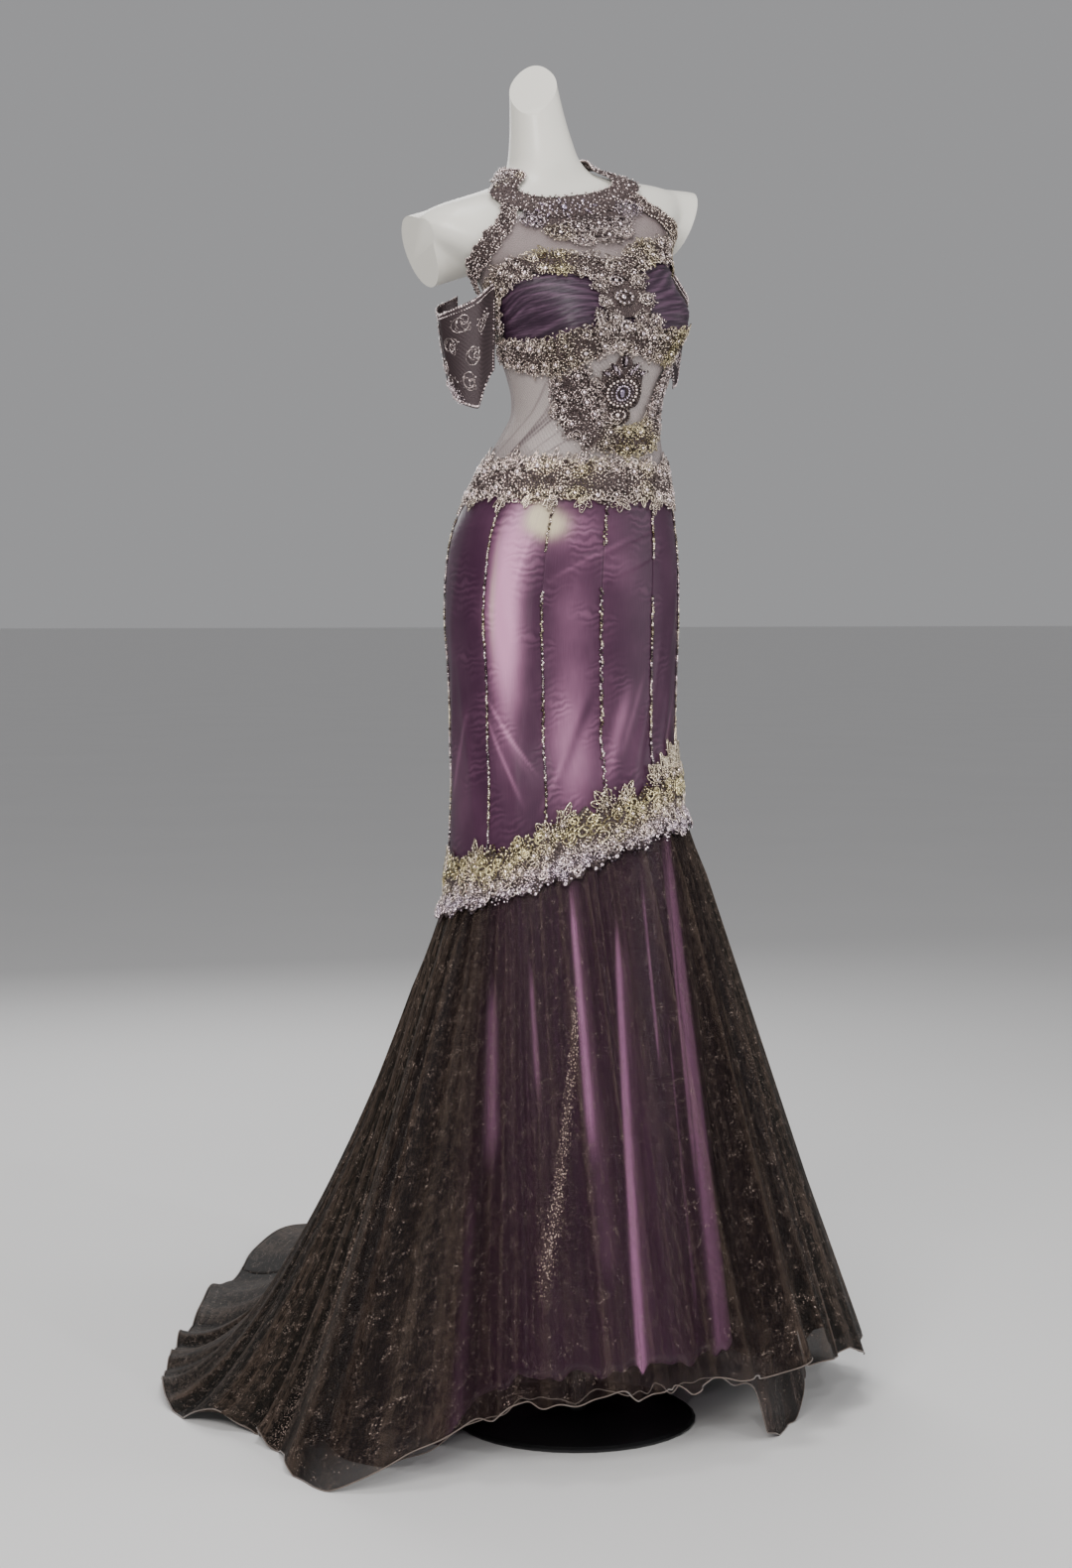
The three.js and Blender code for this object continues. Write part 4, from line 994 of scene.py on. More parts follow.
class Layer:
    """One gathered layer. along is the share of the way round, t runs from join to hem."""

    def __init__(self, hem, lift, flutes, depth, gather, fine, ripple, seed):
        self.hem = curves(HEM_COLUMNS, hem, 360)
        self.lift, self.flutes, self.depth, self.gather = lift, flutes, depth, gather
        self.fine, self.ripple = fine, ripple
        own = np.random.default_rng(seed)
        ends = np.arange(flutes + 1) / flutes
        drawn = own.uniform(0.5, 1.12, flutes)
        self.boldness = Curve(ends, [*drawn, drawn[0]])
        self.phase = own.uniform(0, 6.28, 4)

    def plain(self, along, t):
        turn = flute_turn(along)
        start = on_form(turn, join_height(turn) - JOIN_GAP / 2, np.full(np.shape(turn), self.lift))
        reach = self.hem["reach"](turn) - self.depth / 2
        rise = np.maximum(0.3, self.hem["rise"](turn))
        a = np.radians(turn)
        end = np.stack([np.sin(a) * reach, -np.cos(a) * reach, rise], -1)
        point = start + (end - start) * t[..., None]
        left = np.maximum(0, 1 - t) ** self.hem["sweep"](turn)
        point[..., 2] = rise + (start[..., 2] - rise) * left
        return point

    def normal(self, along, t):
        around = self.plain(along + 0.002, t) - self.plain(along - 0.002, t)
        up = self.plain(along, np.maximum(0, t - 0.01)) - self.plain(along, np.minimum(1, t + 0.01))
        return unit(np.cross(around, up))

    def wave(self, along):
        return 0.5 - 0.5 * np.cos(2 * np.pi * self.flutes * along)

    def ridges(self, along, t):
        """Narrow crisp folds between the flutes, 0 to 1."""
        p, count = self.phase, self.flutes
        around = 2 * np.pi * along
        first = np.sin(around * count * 3 + 1.9 * np.sin(around * 5 + p[0]) + 0.8 * t)
        second = np.sin(around * count * 2 + 2.3 * np.sin(around * 3 + p[2]) - 1.1 * t)
        return (0.5 + 0.5 * first) ** 4 + (0.5 + 0.5 * second) ** 5

    def fold(self, along, t):
        """Height of the cloth over the plain surface."""
        p, count = self.phase, self.flutes
        around = 2 * np.pi * along
        bold = self.boldness(along % 1)
        uneven = 0.8 + 0.2 * np.sin(2 * np.pi * (5 * along + 0.3))
        big = (self.gather * (1 - t) + self.depth * uneven * bold * t**1.15) * self.wave(along)
        small = 0.5 + 0.5 * np.sin(around * count * 4 + p[0] + 2.2 * np.sin(around * 5 + p[1]))
        mid = 0.5 + 0.5 * np.sin(around * count * 2 + p[2] + 1.7 * np.sin(around * 7 + p[3])
                                 + 1.4 * t)
        edge = np.sin(around * count * 3 + p[1] + 2 * np.sin(around * 9))
        return (big + self.fine * small * (1 - t) ** 2.2 * (0.4 + 0.6 * mid)
                + self.fine * 1.6 * self.ridges(along, t) * np.clip(t * 9, 0, 1) * (1 - t) ** 0.4
                + self.fine * 2.4 * mid * t * (1 - t) ** 0.7
                + self.ripple * (0.5 + 0.5 * edge) * t**7)

    def skin(self, along, t, lift=0.0):
        high = self.fold(along, t) + lift
        point = self.plain(along, t) + self.normal(along, t) * high[..., None]
        point[..., 2] = np.maximum(point[..., 2] + self.hem_wave(along) * t**12, LOWEST_HEM)
        return point

    def hem_wave(self, along):
        """The rise and fall of the free edge, in mm."""
        around = 2 * np.pi * along
        return sum(high * np.sin(around * waves + phase)
                   for (high, waves), phase in zip(HEM_RIPPLES, self.phase))


OUTER = Layer(OUTER_HEM, lift=5.6, flutes=24, depth=30, gather=1.6, fine=2.0, ripple=3.5, seed=3)
UNDER = Layer(UNDER_HEM, lift=3.7, flutes=14, depth=15, gather=0.2, fine=0.5, ripple=2.0, seed=5)
SATIN_LINING = Layer(LINING_HEM, lift=1.8, flutes=10, depth=11, gather=0.0, fine=0.2, ripple=1.0,
                     seed=8)
print("hems reach", max(OUTER_HEM, key=lambda row: row[1])[1], "mm to the back")

# %% [markdown]
# Light falls through the organza onto the lining's flutes. Their pink highlights and a few golden
# highlights on the gathers are painted light, laid by rows, each with its turn, drift and width.
# The organza is densest at the sides, where it lies in many folds, and clearest over the front.


# %% Painted streaks and the layers
STREAK_FADE = 0.12


def streaks(turn, t, rows):
    total = np.zeros(np.shape(turn))
    for at, lean, wide, strong, top, bottom in rows:
        middle = at + lean * t
        spread = wide * (0.45 + 0.75 * t)
        fade = (np.clip((t - top) / STREAK_FADE, 0, 1)
                * np.clip((bottom - t) / STREAK_FADE, 0, 1))
        total += strong * np.exp(-(wrap_turn(turn - middle) / spread) ** 2) * fade
    return np.clip(total, 0, 1)


# The first table paints pink highlights on the lining, the second golden highlights on the gathers.
# turn at the join, drift to the hem, width, strength, first and last share of the way down
PINK_HIGHLIGHTS = [(38, 9, 9, 0.72, -0.1, 1.3), (38, 11, 4.4, 1.0, 0.06, 1.3), (33, 4, 1.6, 0.5, 0.0, 0.7),
        (3, -7, 1.7, 0.78, 0.1, 1.3), (5, -6, 5.0, 0.26, 0.1, 1.3), (-16, -1, 2.2, 0.66, 0.0, 0.6),
        (-14, 0, 6.0, 0.28, -0.1, 0.9), (-58, -6, 6.0, 0.66, 0.12, 0.6),
        (-64, -14, 4.5, 0.5, 0.5, 1.2), (16, 3, 1.8, 0.6, 0.0, 0.5), (-38, 1, 2.5, 0.5, 0.1, 0.5),
        (24, 2, 1.5, 0.4, 0.3, 1.0), (90, 4, 6, 0.8, 0.0, 1.3), (130, 0, 4, 0.6, 0.1, 1.2),
        (-120, 0, 5, 0.6, 0.1, 1.2), (170, 0, 5, 0.6, 0.1, 1.2)]
GOLD_HIGHLIGHTS = [(-11, -33, 2.8, 1.0, 0.16, 0.86), (-52, -4, 2.4, 0.5, 0.1, 0.5),
        (-34, -12, 2.2, 0.8, 0.9, 1.2), (-92, -6, 3.0, 0.5, 0.4, 1.1), (52, 4, 2.5, 0.35, 0.1, 0.6)]
# turn of the middle and half width of the clear front and of the trailing corner
CORE, TAIL = (-12, 78), (50, 17)
TAIL_START = 0.8


def core_at(turn, t):
    """1 over the front, where the lining lies behind the organza, and 0 at the sides."""
    away = wrap_turn(turn - CORE[0]) / CORE[1]
    return np.clip(1.35 - away**2 * 1.35, 0, 1) * (1 - 0.85 * tail_at(turn, t))


def tail_at(turn, t):
    """1 on the corner of the under layer that trails below the hem on the wearer's left."""
    return np.exp(-((turn - TAIL[0]) / TAIL[1]) ** 4) * np.clip((t - TAIL_START) / 0.08, 0, 1)


def build_layer(name, layer, panels, cols, rows, material, thick, ease):
    for k in range(panels):
        def spot(u, v):
            return (k + u) / panels, (1 - v) ** 1.1

        def turn_spot(u, v):
            along, t = spot(u, v)
            return flute_turn(along), t

        def lay(u, v):
            return layer.skin(*spot(u, v))

        node = f"{name}_{k + 1}"
        # The crest, gold and glow tones paint highlights on the crests, golden highlights on the
        # gathers and pink highlights on the lining.
        panel = cloth(f"{node}_cloth", cols // panels, rows, lay, material, thick=thick,
                      ease=ease, painted={
                          "crest": lambda u, v: (0.5 * layer.wave(spot(u, v)[0])
                                                 + 0.6 * layer.ridges(*spot(u, v))),
                          "core": lambda u, v: core_at(*turn_spot(u, v)),
                          "gold": lambda u, v: streaks(*turn_spot(u, v), GOLD_HIGHLIGHTS),
                          "glow": lambda u, v: streaks(*turn_spot(u, v), PINK_HIGHLIGHTS)})
        hide_behind(panel, node)


build_layer("satin_lining", SATIN_LINING, 4, 320, 60, LINING, 0.6, 1.05)
build_layer("organza_under", UNDER, 4, 392, 80, UNDER_ORGANZA, 0.35, 1.2)
build_layer("organza_outer", OUTER, 6, 768, 96, OUTER_ORGANZA, 0.35, 1.25)

# %% [markdown]
# ## Rolled hems
# The free edges of the organza are rolled and stitched, which leaves a thin pale cord that
# ripples with the cloth. The lining's is rolled too, in its own satin. Each is a small tube
# swept along the layer's own edge.


# %% Tubes and meshes from arrays
def triangle_mesh(name, points, triangles):
    """A new object from points in mm and rows of three vertex numbers."""
    mesh = bpy.data.meshes.new(name)
    count = len(triangles)
    mesh.vertices.add(len(points))
    mesh.vertices.foreach_set("co", (np.asarray(points) * MM).astype(np.float32).ravel())
    mesh.loops.add(count * 3)
    mesh.loops.foreach_set("vertex_index", np.asarray(triangles, np.int32).ravel())
    mesh.polygons.add(count)
    mesh.polygons.foreach_set("loop_start", np.arange(count, dtype=np.int32) * 3)
    mesh.update(calc_edges=True)
    piece = bpy.data.objects.new(name, mesh)
    bpy.context.collection.objects.link(piece)
    return piece


def even_angles(count):
    return np.arange(count) * 2 * np.pi / count


def tubes(paths, side, radius, sides=6, closed=False):
    """Points and triangles of tubes along rows of points. side is a direction across each path."""
    many, count = paths.shape[:2]
    if closed:
        ahead = np.roll(paths, -1, axis=1) - np.roll(paths, 1, axis=1)
    else:
        ahead = np.gradient(paths, axis=1)
    ahead = unit(ahead)
    across = unit(side - (side * ahead).sum(-1, keepdims=True) * ahead)[:, :, None]
    other = np.cross(ahead[:, :, None], across)
    angle = even_angles(sides)[:, None]
    radius = np.broadcast_to(np.asarray(radius, float), (many, count))[:, :, None, None]
    points = paths[:, :, None] + (across * np.cos(angle) + other * np.sin(angle)) * radius
    i, j = np.meshgrid(np.arange(count if closed else count - 1), np.arange(sides), indexing="ij")
    a, b = i * sides + j, i * sides + (j + 1) % sides
    c, d = ((i + 1) % count) * sides + (j + 1) % sides, ((i + 1) % count) * sides + j
    triangles = [np.stack([a, b, c], -1).reshape(-1, 3), np.stack([a, c, d], -1).reshape(-1, 3)]
    if not closed:
        fan = np.arange(1, sides - 1)
        last = (count - 1) * sides
        triangles.append(np.stack([0 * fan, fan + 1, fan], -1))
        triangles.append(np.stack([last + 0 * fan, last + fan, last + fan + 1], -1))
    numbers = np.concatenate(triangles) + (np.arange(many) * count * sides)[:, None, None]
    return points.reshape(-1, 3), numbers.reshape(-1, 3)


def hem_finish():
    f = Finish("rolled_hem", roughness=0.5, sheen_weight=0.3)
    cloud = f.noise(f.place(), 90, 2)
    f.set("Base Color", f.mix(cloud, (0.06, 0.043, 0.034), (0.15, 0.11, 0.09)))
    f.bump(cloud, 0.3, 0.0006)
    return f.material


def build_hem(name, layer, count, material, radius):
    along = np.arange(count) / count
    low = np.ones(count)
    path = layer.skin(along, low, 0.2)
    path[:, 2] = np.maximum(path[:, 2], radius + 0.1)
    points, triangles = tubes(path[None], layer.normal(along, low)[None], radius, closed=True)
    piece = triangle_mesh(name, points, triangles)
    piece.data.shade_smooth()
    return finish_piece(piece, name, material)


HEM = hem_finish()
build_hem("organza_outer_hem", OUTER, 1536, HEM, 0.9)
build_hem("organza_under_hem", UNDER, 784, HEM, 0.8)
build_hem("satin_lining_hem", SATIN_LINING, 480, LINING, 0.8)
print("hems are rolled")

# %% [markdown]
# ## Beads, stones and wire
# The trims are nets crusted with glass beads, cut stones, little leaves and curled wire. One of
# each is modelled here as a mesh of a few dozen faces: a round bead is a small icosphere, a
# stone is a cone cut off by its table, and a leaf is a stretched six-sided drop. Facets stay
# flat, so that each catches the light by itself. Copies are then set on the trims by arrays of
# places, and each trim's copies are joined into one mesh.


# %% Bead shapes
def keep_shape(piece):
    """The triangles of a modelled shape, in its own size of 1."""
    bpy.ops.object.transform_apply(location=True, rotation=True, scale=True)
    triangulate = piece.modifiers.new("triangles", "TRIANGULATE")
    bpy.ops.object.modifier_apply(modifier=triangulate.name)
    points = np.array([v.co for v in piece.data.vertices], float)
    triangles = np.array([p.vertices for p in piece.data.polygons], int)
    bpy.data.objects.remove(piece)
    return points, triangles


def model_bead():
    bpy.ops.mesh.primitive_ico_sphere_add(subdivisions=1, radius=1)
    piece = bpy.context.object
    piece.scale = (1, 1, 0.85)
    return keep_shape(piece)


def model_stone():
    bpy.ops.mesh.primitive_cone_add(vertices=8, radius1=1, radius2=0.72, depth=0.3,
                                    location=(0, 0, 0.15), end_fill_type="NGON")
    piece = bpy.context.object
    bpy.ops.object.mode_set(mode="EDIT")
    bpy.ops.mesh.select_mode(type="FACE")
    bpy.ops.mesh.select_all(action="DESELECT")
    bpy.ops.object.mode_set(mode="OBJECT")
    for face in piece.data.polygons:
        face.select = face.normal.z > 0.9
    bpy.ops.object.mode_set(mode="EDIT")
    bpy.ops.mesh.inset(thickness=0.3, depth=0.22)
    bpy.ops.object.mode_set(mode="OBJECT")
    return keep_shape(piece)


def model_leaf():
    bpy.ops.mesh.primitive_uv_sphere_add(segments=6, ring_count=4, radius=1)
    piece = bpy.context.object
    piece.rotation_euler = (0, math.pi / 2, 0)
    bpy.ops.object.transform_apply(location=True, rotation=True, scale=True)
    for vertex in piece.data.vertices:
        x = vertex.co.x
        vertex.co.y *= 0.42 * (1 - 0.35 * x)
        vertex.co.z = abs(vertex.co.z) * 0.34 - 0.05
    return keep_shape(piece)


SHAPES = {"bead": model_bead(), "stone": model_stone(), "leaf": model_leaf()}
print("triangles:", {shape: len(mesh[1]) for shape, mesh in SHAPES.items()})

# %% [markdown]
# A crust gathers all that is sewn to one trim. It knows the trim's surface as a function of two
# coordinates and a lift, and turns millimetres along and up into them, so that a flower drawn
# flat wraps round the body. Every item gets a tone: 0 is silver, 1 is gold, a second value says
# how lilac it is and a third how bright it is, mostly a painted glint when high and painted shade
# when low.


# %% The crust of a trim
WIRE_SIDES = 5


class Crust:
    """All that is sewn to one trim, kept as rows until one mesh is made of them."""

    def __init__(self, skin, scale, seed, shine=1.0):
        self.skin, self.scale, self.shine = skin, scale, shine
        self.sewn = {shape: [] for shape in SHAPES}
        self.wires = {}
        self.rng = np.random.default_rng(seed)

    def at(self, a, b, dx, dy, lift):
        """Points, and the directions along, up and out, dx and dy mm from the places a, b."""
        per_a, per_b = self.scale(a, b)
        a, b = a + dx / per_a, b + dy / per_b
        middle = self.skin(a, b, lift)
        along = unit(self.skin(a + 1.0 / per_a, b, lift) - self.skin(a - 1.0 / per_a, b, lift))
        out = unit(self.skin(a, b, lift + 1) - middle)
        return middle, along, np.cross(out, along), out

    def sew(self, shape, a, b, size, gold, lilac=0.0, dx=0.0, dy=0.0, lift=0.0, spin=None,
            tilt=0.25, stretch=1.0, bright=None):
        """Sews copies of a shape at places a, b. Sizes are half widths in mm."""
        rows = list(np.broadcast_arrays(*[np.atleast_1d(np.asarray(x, float)) for x in (
            a, b, dx, dy, lift, size, gold, lilac, tilt, stretch)]))
        n = len(rows[0])
        rows.append(self.rng.uniform(0, 6.28, n) if spin is None else np.broadcast_to(spin, n))
        rows.append(self.rng.uniform(0.1, 1, n) if bright is None else np.broadcast_to(bright, n))
        self.sewn[shape].append(np.array(rows))

    def wire(self, a, b, dx, dy, radius, gold, lilac=0.0, lift=0.8, bright=0.75):
        """A bent wire through offsets dx, dy in mm from one place."""
        rows = np.array(np.broadcast_arrays(a, b, dx, dy, lift, radius, gold, lilac, bright), float)
        self.wires.setdefault(rows.shape[1], []).append(rows)

    def curl(self, a, b, size, turn, gold, lilac=0.0, turns=1.0, lift=1.2, hand=1, radius=0.85):
        """A wire curl: an arm that winds in to a small eye, with a bead at its heart."""
        bright = self.rng.uniform(0.2, 0.75)
        s = np.linspace(0, 1, 13)
        angle = hand * s * turns * 2 * np.pi + turn
        reach = size * (1 - 0.72 * s)
        dx = reach * np.cos(angle) - size * 0.25 * math.cos(turn)
        dy = reach * np.sin(angle) - size * 0.25 * math.sin(turn)
        self.wire(a, b, dx, dy, radius * (1 - 0.35 * s), gold, lilac, lift, bright)
        self.sew("bead", a, b, radius * 1.3, gold, lilac, dx[-1], dy[-1], lift + 0.5, bright=1)

    def loop(self, a, b, long, wide, turn, gold, lilac=0.0, lift=1.2, radius=0.7, bright=0.5):
        """A pointed leaf bent from wire, with a row of beads along its middle."""
        s = np.linspace(0, 1, 13)
        x = long * (1 - np.cos(2 * np.pi * s)) / 2
        y = wide * np.sin(2 * np.pi * s) * (1 - 0.45 * x / long)
        dx, dy = x * math.cos(turn) - y * math.sin(turn), x * math.sin(turn) + y * math.cos(turn)
        self.wire(a, b, dx, dy, radius, gold, lilac, lift, bright)
        inner = np.arange(0.2, 0.9, 2.6 / long) * long
        self.sew("bead", a, b, radius * 1.25, gold, lilac, inner * math.cos(turn),
                 inner * math.sin(turn), lift + 0.3)

    def flower(self, a, b, size, gold, lilac=0.0, petals=5, turn=0.0, lift=1.0):
        """Petals outlined in small beads, each round a dark leaf, and a stone at the heart."""
        angle, around = turn + even_angles(petals), even_angles(7)
        reach = np.tile(size * (0.64 + 0.34 * np.cos(around)), petals)
        theta = (angle[:, None] + 2.5 / petals * np.sin(around)).ravel()
        self.sew("bead", a, b, size * 0.115, gold, lilac, reach * np.cos(theta),
                 reach * np.sin(theta), lift + 0.5, bright=self.rng.uniform(0.35, 0.9, len(reach)))
        self.sew("leaf", a, b, size * 0.28, gold, lilac, size * 0.62 * np.cos(angle),
                 size * 0.62 * np.sin(angle), lift, spin=angle, tilt=0.08, bright=0.2)
        self.sew("stone", a, b, size * 0.24, gold * 0.4, max(lilac, 0.3), 0, 0, lift + 1.0,
                 tilt=0.1, bright=1)

    def rosette(self, a, b, size, gold, lilac=0.0, beads=10, lift=1.0):
        """A stone in a ring of beads."""
        angle = even_angles(beads) + self.rng.uniform(0, 1)
        self.sew("bead", a, b, size * 0.23, gold, lilac, size * 0.78 * np.cos(angle),
                 size * 0.78 * np.sin(angle), lift, bright=0.8)
        self.sew("stone", a, b, size * 0.46, gold * 0.5, max(lilac, 0.35), 0, 0, lift + 0.3,
                 tilt=0.08, bright=0.9)

    def set_shapes(self, shape):
        """All copies of one shape: points, triangles, and tones of each point."""
        points, triangles = SHAPES[shape]
        rows = np.concatenate(self.sewn[shape], axis=1)
        a, b, dx, dy, lift, size, gold, lilac, tilt, stretch, spin, bright = rows
        middle, along, up, out = self.at(a, b, dx, dy, lift)
        x_axis = along * np.cos(spin)[:, None] + up * np.sin(spin)[:, None]
        lean = unit(out + tilt[:, None] * self.rng.normal(0, 1, out.shape))
        y_axis = unit(np.cross(lean, x_axis))
        x_axis = np.cross(y_axis, lean) * stretch[:, None]
        placed = middle[:, None] + size[:, None, None] * (
            points[:, 0:1] * x_axis[:, None] + points[:, 1:2] * y_axis[:, None]
            + points[:, 2:3] * lean[:, None])
        numbers = triangles + (np.arange(len(a)) * len(points))[:, None, None]
        tones = np.repeat(np.stack([gold, lilac, bright], 1), len(points), axis=0)
        return placed.reshape(-1, 3), numbers.reshape(-1, 3), tones

    def set_wires(self, rows):
        a, b, dx, dy, lift, radius, gold, lilac, bright = np.array(rows).transpose(1, 0, 2)
        middle, _, _, out = self.at(a, b, dx, dy, lift)
        points, triangles = tubes(middle, out, radius, sides=WIRE_SIDES)
        tones = np.stack([gold, lilac, bright], -1).reshape(-1, 3)
        return points, triangles, np.repeat(tones, WIRE_SIDES, axis=0)

    def make(self, name):
        parts = [self.set_shapes(shape) for shape, rows in self.sewn.items() if rows]
        parts += [self.set_wires(rows) for rows in self.wires.values()]
        starts = np.cumsum([0] + [len(points) for points, _, _ in parts])
        triangles = np.concatenate([part[1] + start for part, start in zip(parts, starts)])
        piece = triangle_mesh(name, np.concatenate([part[0] for part in parts]), triangles)
        tones = np.concatenate([part[2] for part in parts]) * (1, 1, self.shine)
        for k, key in enumerate(("gold", "lilac", "bright")):
            paint(piece, key, tones[:, k])
        finish_piece(piece, name, BEADS)
        print(f"{name}: {len(triangles)} triangles")
        return piece


def bead_finish():
    f = Finish("silver_lined_glass", metallic=0.85, specular_ior_level=0.6, coat_weight=0.3,
               coat_roughness=0.05)
    grain = f.noise(f.place(), 240, 1)
    # The bright tone is painted per bead: high for a painted glint, low for painted shade, with a
    # little grain.
    bright = f.attribute("bright") * 0.95 + grain.band(0.3, 0.7) * 0.35 - 0.2
    share = bright.band(-0.05, 1.1) ** 1.35
    cool = f.mix(share, (0.034, 0.019, 0.018), (1.0, 0.83, 0.78))
    warm = f.mix(share, (0.060, 0.036, 0.012), (1.0, 0.88, 0.52))
    lilac = f.mix(share, (0.036, 0.020, 0.052), (0.88, 0.74, 1.0))
    base = f.mix(f.attribute("gold"), cool, warm)
    f.set("Base Color", f.mix(f.attribute("lilac"), base, lilac))
    f.set("Roughness", 0.30 - share * 0.18)
    return f.material


def lace_finish():
    f = Finish("lace_ground", roughness=0.7, specular_ior_level=0.3)
    where = f.place()
    thread = f.add("TexVoronoi", {"feature": "DISTANCE_TO_EDGE"}, {"Vector": where, "Scale": 380},
                   "Distance")
    line = 1 - thread.band(0.02, 0.12)
    f.set("Base Color", f.mix(line, (0.022, 0.014, 0.015), (0.12, 0.085, 0.080)))
    f.bump(line, 0.4, 0.0008)
    return f.material


BEADS, LACE = bead_finish(), lace_finish()

# %% [markdown]
# ## Trims on the bodice
# Each trim follows a route over the body: turn, height and half width at a few stations. Its
# ground is a narrow sheet of lace with a scalloped edge, and on it lie flowers and rosettes
# along the middle, curls along the edges and small beads in all the gaps.


# %% Routes
class Route:
    """A path over the form with a half width, all read by a share s of its length."""

    def __init__(self, rows):
        rows = np.array(rows, float)
        keys = np.arange(len(rows)) / (len(rows) - 1)
        self.turn, self.height, self.half = (Curve(keys, rows[:, k]) for k in range(3))
        s = np.linspace(0, 1, 200)
        p = form_point(wrap_turn(self.turn(s)), self.height(s))
        self.length = np.linalg.norm(np.diff(p, axis=0), axis=1).sum()

    def place(self, s, offset):
        """Turn and height at a share of the way, offset mm to the upper side."""
        s = np.clip(np.asarray(s, float), 0, 1)
        turn, height = self.turn(s), self.height(s)
        s_a, s_b = np.maximum(0, s - 0.01), np.minimum(1, s + 0.01)
        radius = radius_at(turn, height)
        run = np.radians(self.turn(s_b) - self.turn(s_a)) * radius
        climb = self.height(s_b) - self.height(s_a)
        size = np.hypot(run, climb)
        return (turn - np.degrees(climb / size * offset / radius), height + run / size * offset)


class Ring:
    """A route once round, at a height by turn."""

    def __init__(self, middle, half, length):
        self.middle, self.half_at, self.length = middle, half, length

    def half(self, s):
        return self.half_at(360 * np.asarray(s) - 180)

    def place(self, s, offset):
        turn = 360 * np.asarray(s, float) - 180
        return turn, self.middle(turn) + offset


def form_scale(turn, height):
    return np.radians(1) * radius_at(turn, height), 1.0


def form_crust(seed, shine=1.0):
    return Crust(on_form, form_scale, seed, shine)


def scalloped(s, count, seed=0.0):
    """Uneven scallops of an edge, 0.66 to 1."""
    main = np.abs(np.sin(np.pi * count * s + seed))
    return 0.72 + 0.2 * main + 0.08 * np.sin(2 * np.pi * count * 2.3 * s + 2 * seed)


def edge_at(s, side, count):
    """The scallops of the upper edge where side is above 0, and of the lower edge elsewhere."""
    return scalloped(s, count, np.where(np.asarray(side) > 0, 0.4, 1.7))


def lace_band(name, nodes, route, skin, lift, cols, rows, swell, edge):
    """The sheet of lace under a trim's beads. edge(s, side) is the share of the half width."""
    def lay(u, v):
        side = 2 * v - 1
        a, b = route.place(u, side * route.half(u) * edge(u, side))
        return skin(a, b, lift + swell * (1 - side**2))

    ground = cloth(name + "_lace", cols, rows, lay, LACE, thick=1.0)
    return hide_behind(ground, *nodes)


def fill(crust, route, pitch, lift, scallops, gold, lilac, small=0.9, big=1.5, part=(0, 1),
         reach=1.0, power=1.6):
    """Small beads in uneven rows over the whole trim. gold and lilac are read by s and side."""
    own = crust.rng
    share = part[1] - part[0]
    cols = int(route.length * share / pitch)
    half = float(np.max(route.half(np.linspace(*part, 30)))) * reach
    rows = max(3, int(2 * half / (pitch * 0.87)))
    i, j = np.meshgrid(np.arange(cols), np.arange(rows), indexing="ij")
    s = part[0] + (i + 0.5 * (j % 2) + own.uniform(-0.3, 0.3, i.shape)) / cols * share
    offset = (j + 0.5 + own.uniform(-0.35, 0.35, i.shape)) * 2 * half / rows - half
    s, offset = s.ravel(), offset.ravel()
    most = route.half(s) * edge_at(s, offset, scallops) * reach
    inside = (np.abs(offset) < most) & (s > part[0]) & (s < part[1])
    s, offset = s[inside], offset[inside]
    side = offset / route.half(s)
    a, b = route.place(s, offset)
    raised = lift + 1.2 * np.maximum(0, 1 - side**2) + own.uniform(0.0, 1.2, len(s))
    crust.sew("bead", a, b, own.uniform(small, big, len(s)), gold(s, side), lilac(s, side),
              lift=raised, tilt=0.6, bright=own.uniform(0, 1, len(s)) ** power)


def edge_strings(crust, route, lift, scallops, gold, lilac, reach=1.0, size=1.3):
    """A string of brighter beads along each scalloped edge."""
    count = int(route.length / (2.1 * size))
    s = np.linspace(0, 1, count)
    for sign in (1, -1):
        offset = sign * route.half(s) * edge_at(s, sign, scallops) * reach
        a, b = route.place(s, offset)
        sizes = size * crust.rng.uniform(0.75, 1.25, count)
        crust.sew("bead", a, b, sizes, gold(s, sign), lilac(s, sign), lift=lift + 0.6,
                  bright=crust.rng.uniform(0.5, 1, count))


def dress(crust, route, lift, gold, lilac, step, level, spread, part=(0, 1), size=9.5, curl=6.5,
          curls=2):
    """Flowers and rosettes along one level of a trim, and curls and leaves along its edges."""
    own = crust.rng
    share = part[1] - part[0]
    count = max(2, int(route.length * share / step))
    s = part[0] + (np.arange(count) + 0.5 + own.uniform(-0.2, 0.2, count)) / count * share
    side = level + own.uniform(-spread, spread, count)
    a, b = route.place(s, side * route.half(s))
    tones, tints = gold(s, side), lilac(s, side)
    for k in range(count):
        big = size * own.uniform(0.8, 1.2)
        if k % 4 == 3:
            crust.rosette(a[k], b[k], big * 0.62, tones[k], tints[k], lift=lift + 2.2)
        else:
            crust.flower(a[k], b[k], big, tones[k], float(tints[k]), petals=5 + k % 2,
                         turn=own.uniform(0, 2), lift=lift + 2.0)
    count *= curls
    for sign in (1, -1):
        s = part[0] + (np.arange(count) + own.uniform(0.1, 0.9, count)) / count * share
        a, b = route.place(s, sign * route.half(s) * own.uniform(0.6, 0.95, count))
        tones, tints = gold(s, sign * 0.8), lilac(s, sign * 0.8)
        for k in range(count):
            tone = min(1, tones[k] + own.uniform(-0.1, 0.2))
            if k % 3 == 1:
                crust.loop(a[k], b[k], curl * 1.5, curl * 0.42, sign * own.uniform(0.4, 2.7), tone,
                           tints[k], lift=lift + 1.4)
            else:
                crust.curl(a[k], b[k], curl * own.uniform(0.6, 1.1), own.uniform(0, 6.28), tone,
                           tints[k], lift=lift + own.uniform(1.0, 2.6),
                           hand=1 if own.random() < 0.5 else -1, turns=own.uniform(0.7, 1.1))


